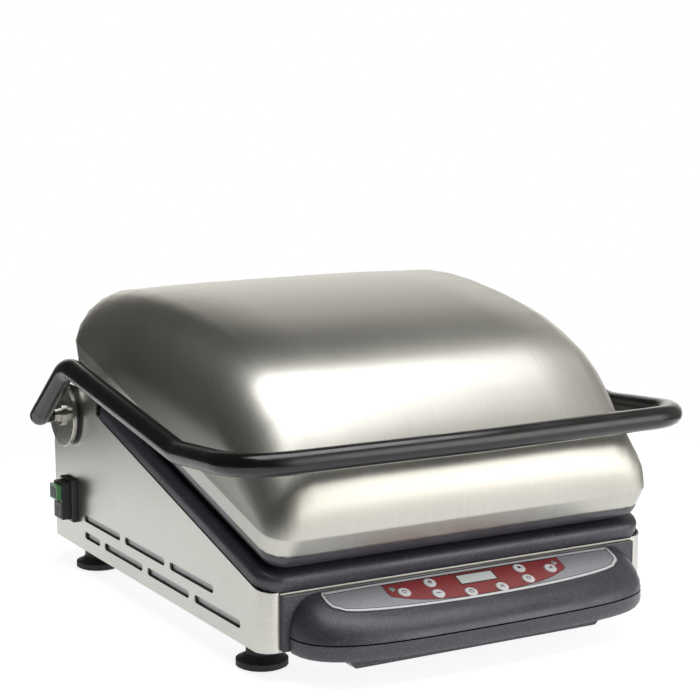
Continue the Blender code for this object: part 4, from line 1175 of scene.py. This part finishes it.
# ---------------------------------------------------------------- studio
@dataclass
class Studio:
    """Pale floor, soft lamps and the camera.

    Attributes:
        floor_size: half of the floor's side.
        floor_drop: how far the floor lies under the feet.
        floor_glow: light that the floor gives by itself, so that it is near white.
        room_glow: light from the darkest part of the room.
        lens_mm: lens on a 36 mm sensor.
        stand: where the camera stands.
        turn_deg: heading of the camera from +Y toward +X.
        tip_deg: how far it looks down.
        glows: bright parts of the room, each as its direction, the cosines where it starts
            and is full, and its strength.
    """

    floor_size: float = 0.80
    floor_drop: float = 0.2 * MM
    floor_glow: float = 0.84
    room_glow: float = 0.08
    lens_mm: float = 99.472
    stand: Point3 = (-0.97195, -1.70034, 0.57514)
    turn_deg: float = 29.802
    tip_deg: float = 9.238
    glows: tuple[tuple[Point3, float, float, float], ...] = (
        ((0.52, 0.85, 0.0), 0.76, 1.0, 1.45),
        ((0.80, -0.50, 0.44), 0.25, 0.95, 0.40),
        ((0.55, -0.80, 0.18), 0.80, 0.98, 1.9))

    def build(self) -> None:
        """Set up the whole studio."""
        self.add_floor()
        self.add_lamps()
        self.add_surround()
        self.add_camera()
        bpy.context.scene.view_settings.view_transform = "Standard"

    def add_floor(self) -> None:
        """Lay a plain white floor that the feet stand on."""
        bm = bmesh.new()
        s = self.floor_size
        bm.faces.new([bm.verts.new(p) for p in ((-s, -s, 0), (s, -s, 0), (s, s, 0), (-s, s, 0))])
        floor = new_object("studio_floor", bm, Matrix.Translation((0, 0, -self.floor_drop)))
        mat = bpy.data.materials.new("matt_white_sweep")
        mat.use_nodes = True
        skin = mat.node_tree.nodes["Principled BSDF"]
        skin.inputs["Base Color"].default_value = linear("B4B4B4")
        skin.inputs["Roughness"].default_value = 0.9
        skin.inputs["Emission Color"].default_value = linear("FFFFFF")
        skin.inputs["Emission Strength"].default_value = self.floor_glow
        floor.data.materials.append(mat)

    def add_lamps(self) -> None:
        """Hang the soft boxes: a large one overhead and a smaller one at the front right."""
        boxes = (
            ("overhead_box", (0.05, -0.44, 1.9), (0.05, -0.44, 0.0), (2.0, 1.1), 33.0),
            ("front_box", (1.5, -2.3, 0.8), (0.0, -0.1, 0.15), (1.6, 1.4), 9.0),
        )
        for name, spot, aim, size, power in boxes:
            lamp = bpy.data.lights.new(name, "AREA")
            lamp.shape = "RECTANGLE"
            lamp.size, lamp.size_y = size
            lamp.energy = power
            obj = bpy.data.objects.new(name, lamp)
            obj.location = spot
            obj.rotation_euler = (Vector(aim) - Vector(spot)).to_track_quat(
                "-Z", "Y").to_euler()
            bpy.context.scene.collection.objects.link(obj)

    def add_surround(self) -> None:
        """White backdrop for the camera, and a dark room with a few soft glowing walls."""
        world = bpy.data.worlds.new("studio_room")
        bpy.context.scene.world = world
        world.use_nodes = True
        tree = world.node_tree
        tree.nodes.clear()
        out = add_node(tree, "ShaderNodeOutputWorld")
        way = add_node(tree, "ShaderNodeTexCoord").outputs["Generated"]
        level: Any = self.room_glow
        for axis, start, end, strength in self.glows:
            side = add_node(tree, "ShaderNodeVectorMath", {"operation": "DOT_PRODUCT"},
                            {0: way, 1: Vector(axis).normalized()})
            glow = add_node(tree, "ShaderNodeMapRange", {"interpolation_type": "SMOOTHSTEP"},
                            {"Value": side.outputs["Value"], "From Min": start, "From Max": end,
                             "To Min": 0.0, "To Max": strength})
            level = add_node(tree, "ShaderNodeMath", {"operation": "ADD"},
                             {0: level, 1: glow.outputs[0]}).outputs[0]
        room = add_node(tree, "ShaderNodeBackground",
                        inputs={"Color": linear("FFFCF5"), "Strength": level})
        white = add_node(tree, "ShaderNodeBackground",
                         inputs={"Color": (1, 1, 1, 1), "Strength": 1.0})
        ray = add_node(tree, "ShaderNodeLightPath").outputs["Is Camera Ray"]
        mix = add_node(tree, "ShaderNodeMixShader",
                       inputs={0: ray, 1: room.outputs[0], 2: white.outputs[0]})
        tree.links.new(mix.outputs[0], out.inputs["Surface"])

    def add_camera(self) -> None:
        """Stand the camera and aim it."""
        lens = bpy.data.cameras.new("camera")
        lens.lens = self.lens_mm
        lens.sensor_width = 36.0
        lens.clip_start, lens.clip_end = 0.05, 60.0
        camera = bpy.data.objects.new("camera", lens)
        camera.location = self.stand
        camera.rotation_euler = (math.radians(90 - self.tip_deg), 0.0,
                                 -math.radians(self.turn_deg))
        bpy.context.scene.collection.objects.link(camera)
        bpy.context.scene.camera = camera


def main() -> None:
    """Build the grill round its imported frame, then the studio."""
    logging.basicConfig(level=logging.INFO, format="%(message)s")
    for obj in list(bpy.data.objects):
        bpy.data.objects.remove(obj)
    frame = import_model()
    slots = {row["node"]: row["material_slot"] for row in frame["record"]["subparts"]}
    palette = Palette()
    groups: tuple[Assembly, ...] = tuple(
        kind(palette, frame["nodes"], slots)
        for kind in (SteelBase, LowerGrill, Keypad, PowerSwitch, LiftAssembly, FloatingHead,
                     GreaseDrawer))
    for group in groups:
        group.build()
    Studio().build()


if __name__ == "__main__":
    main()
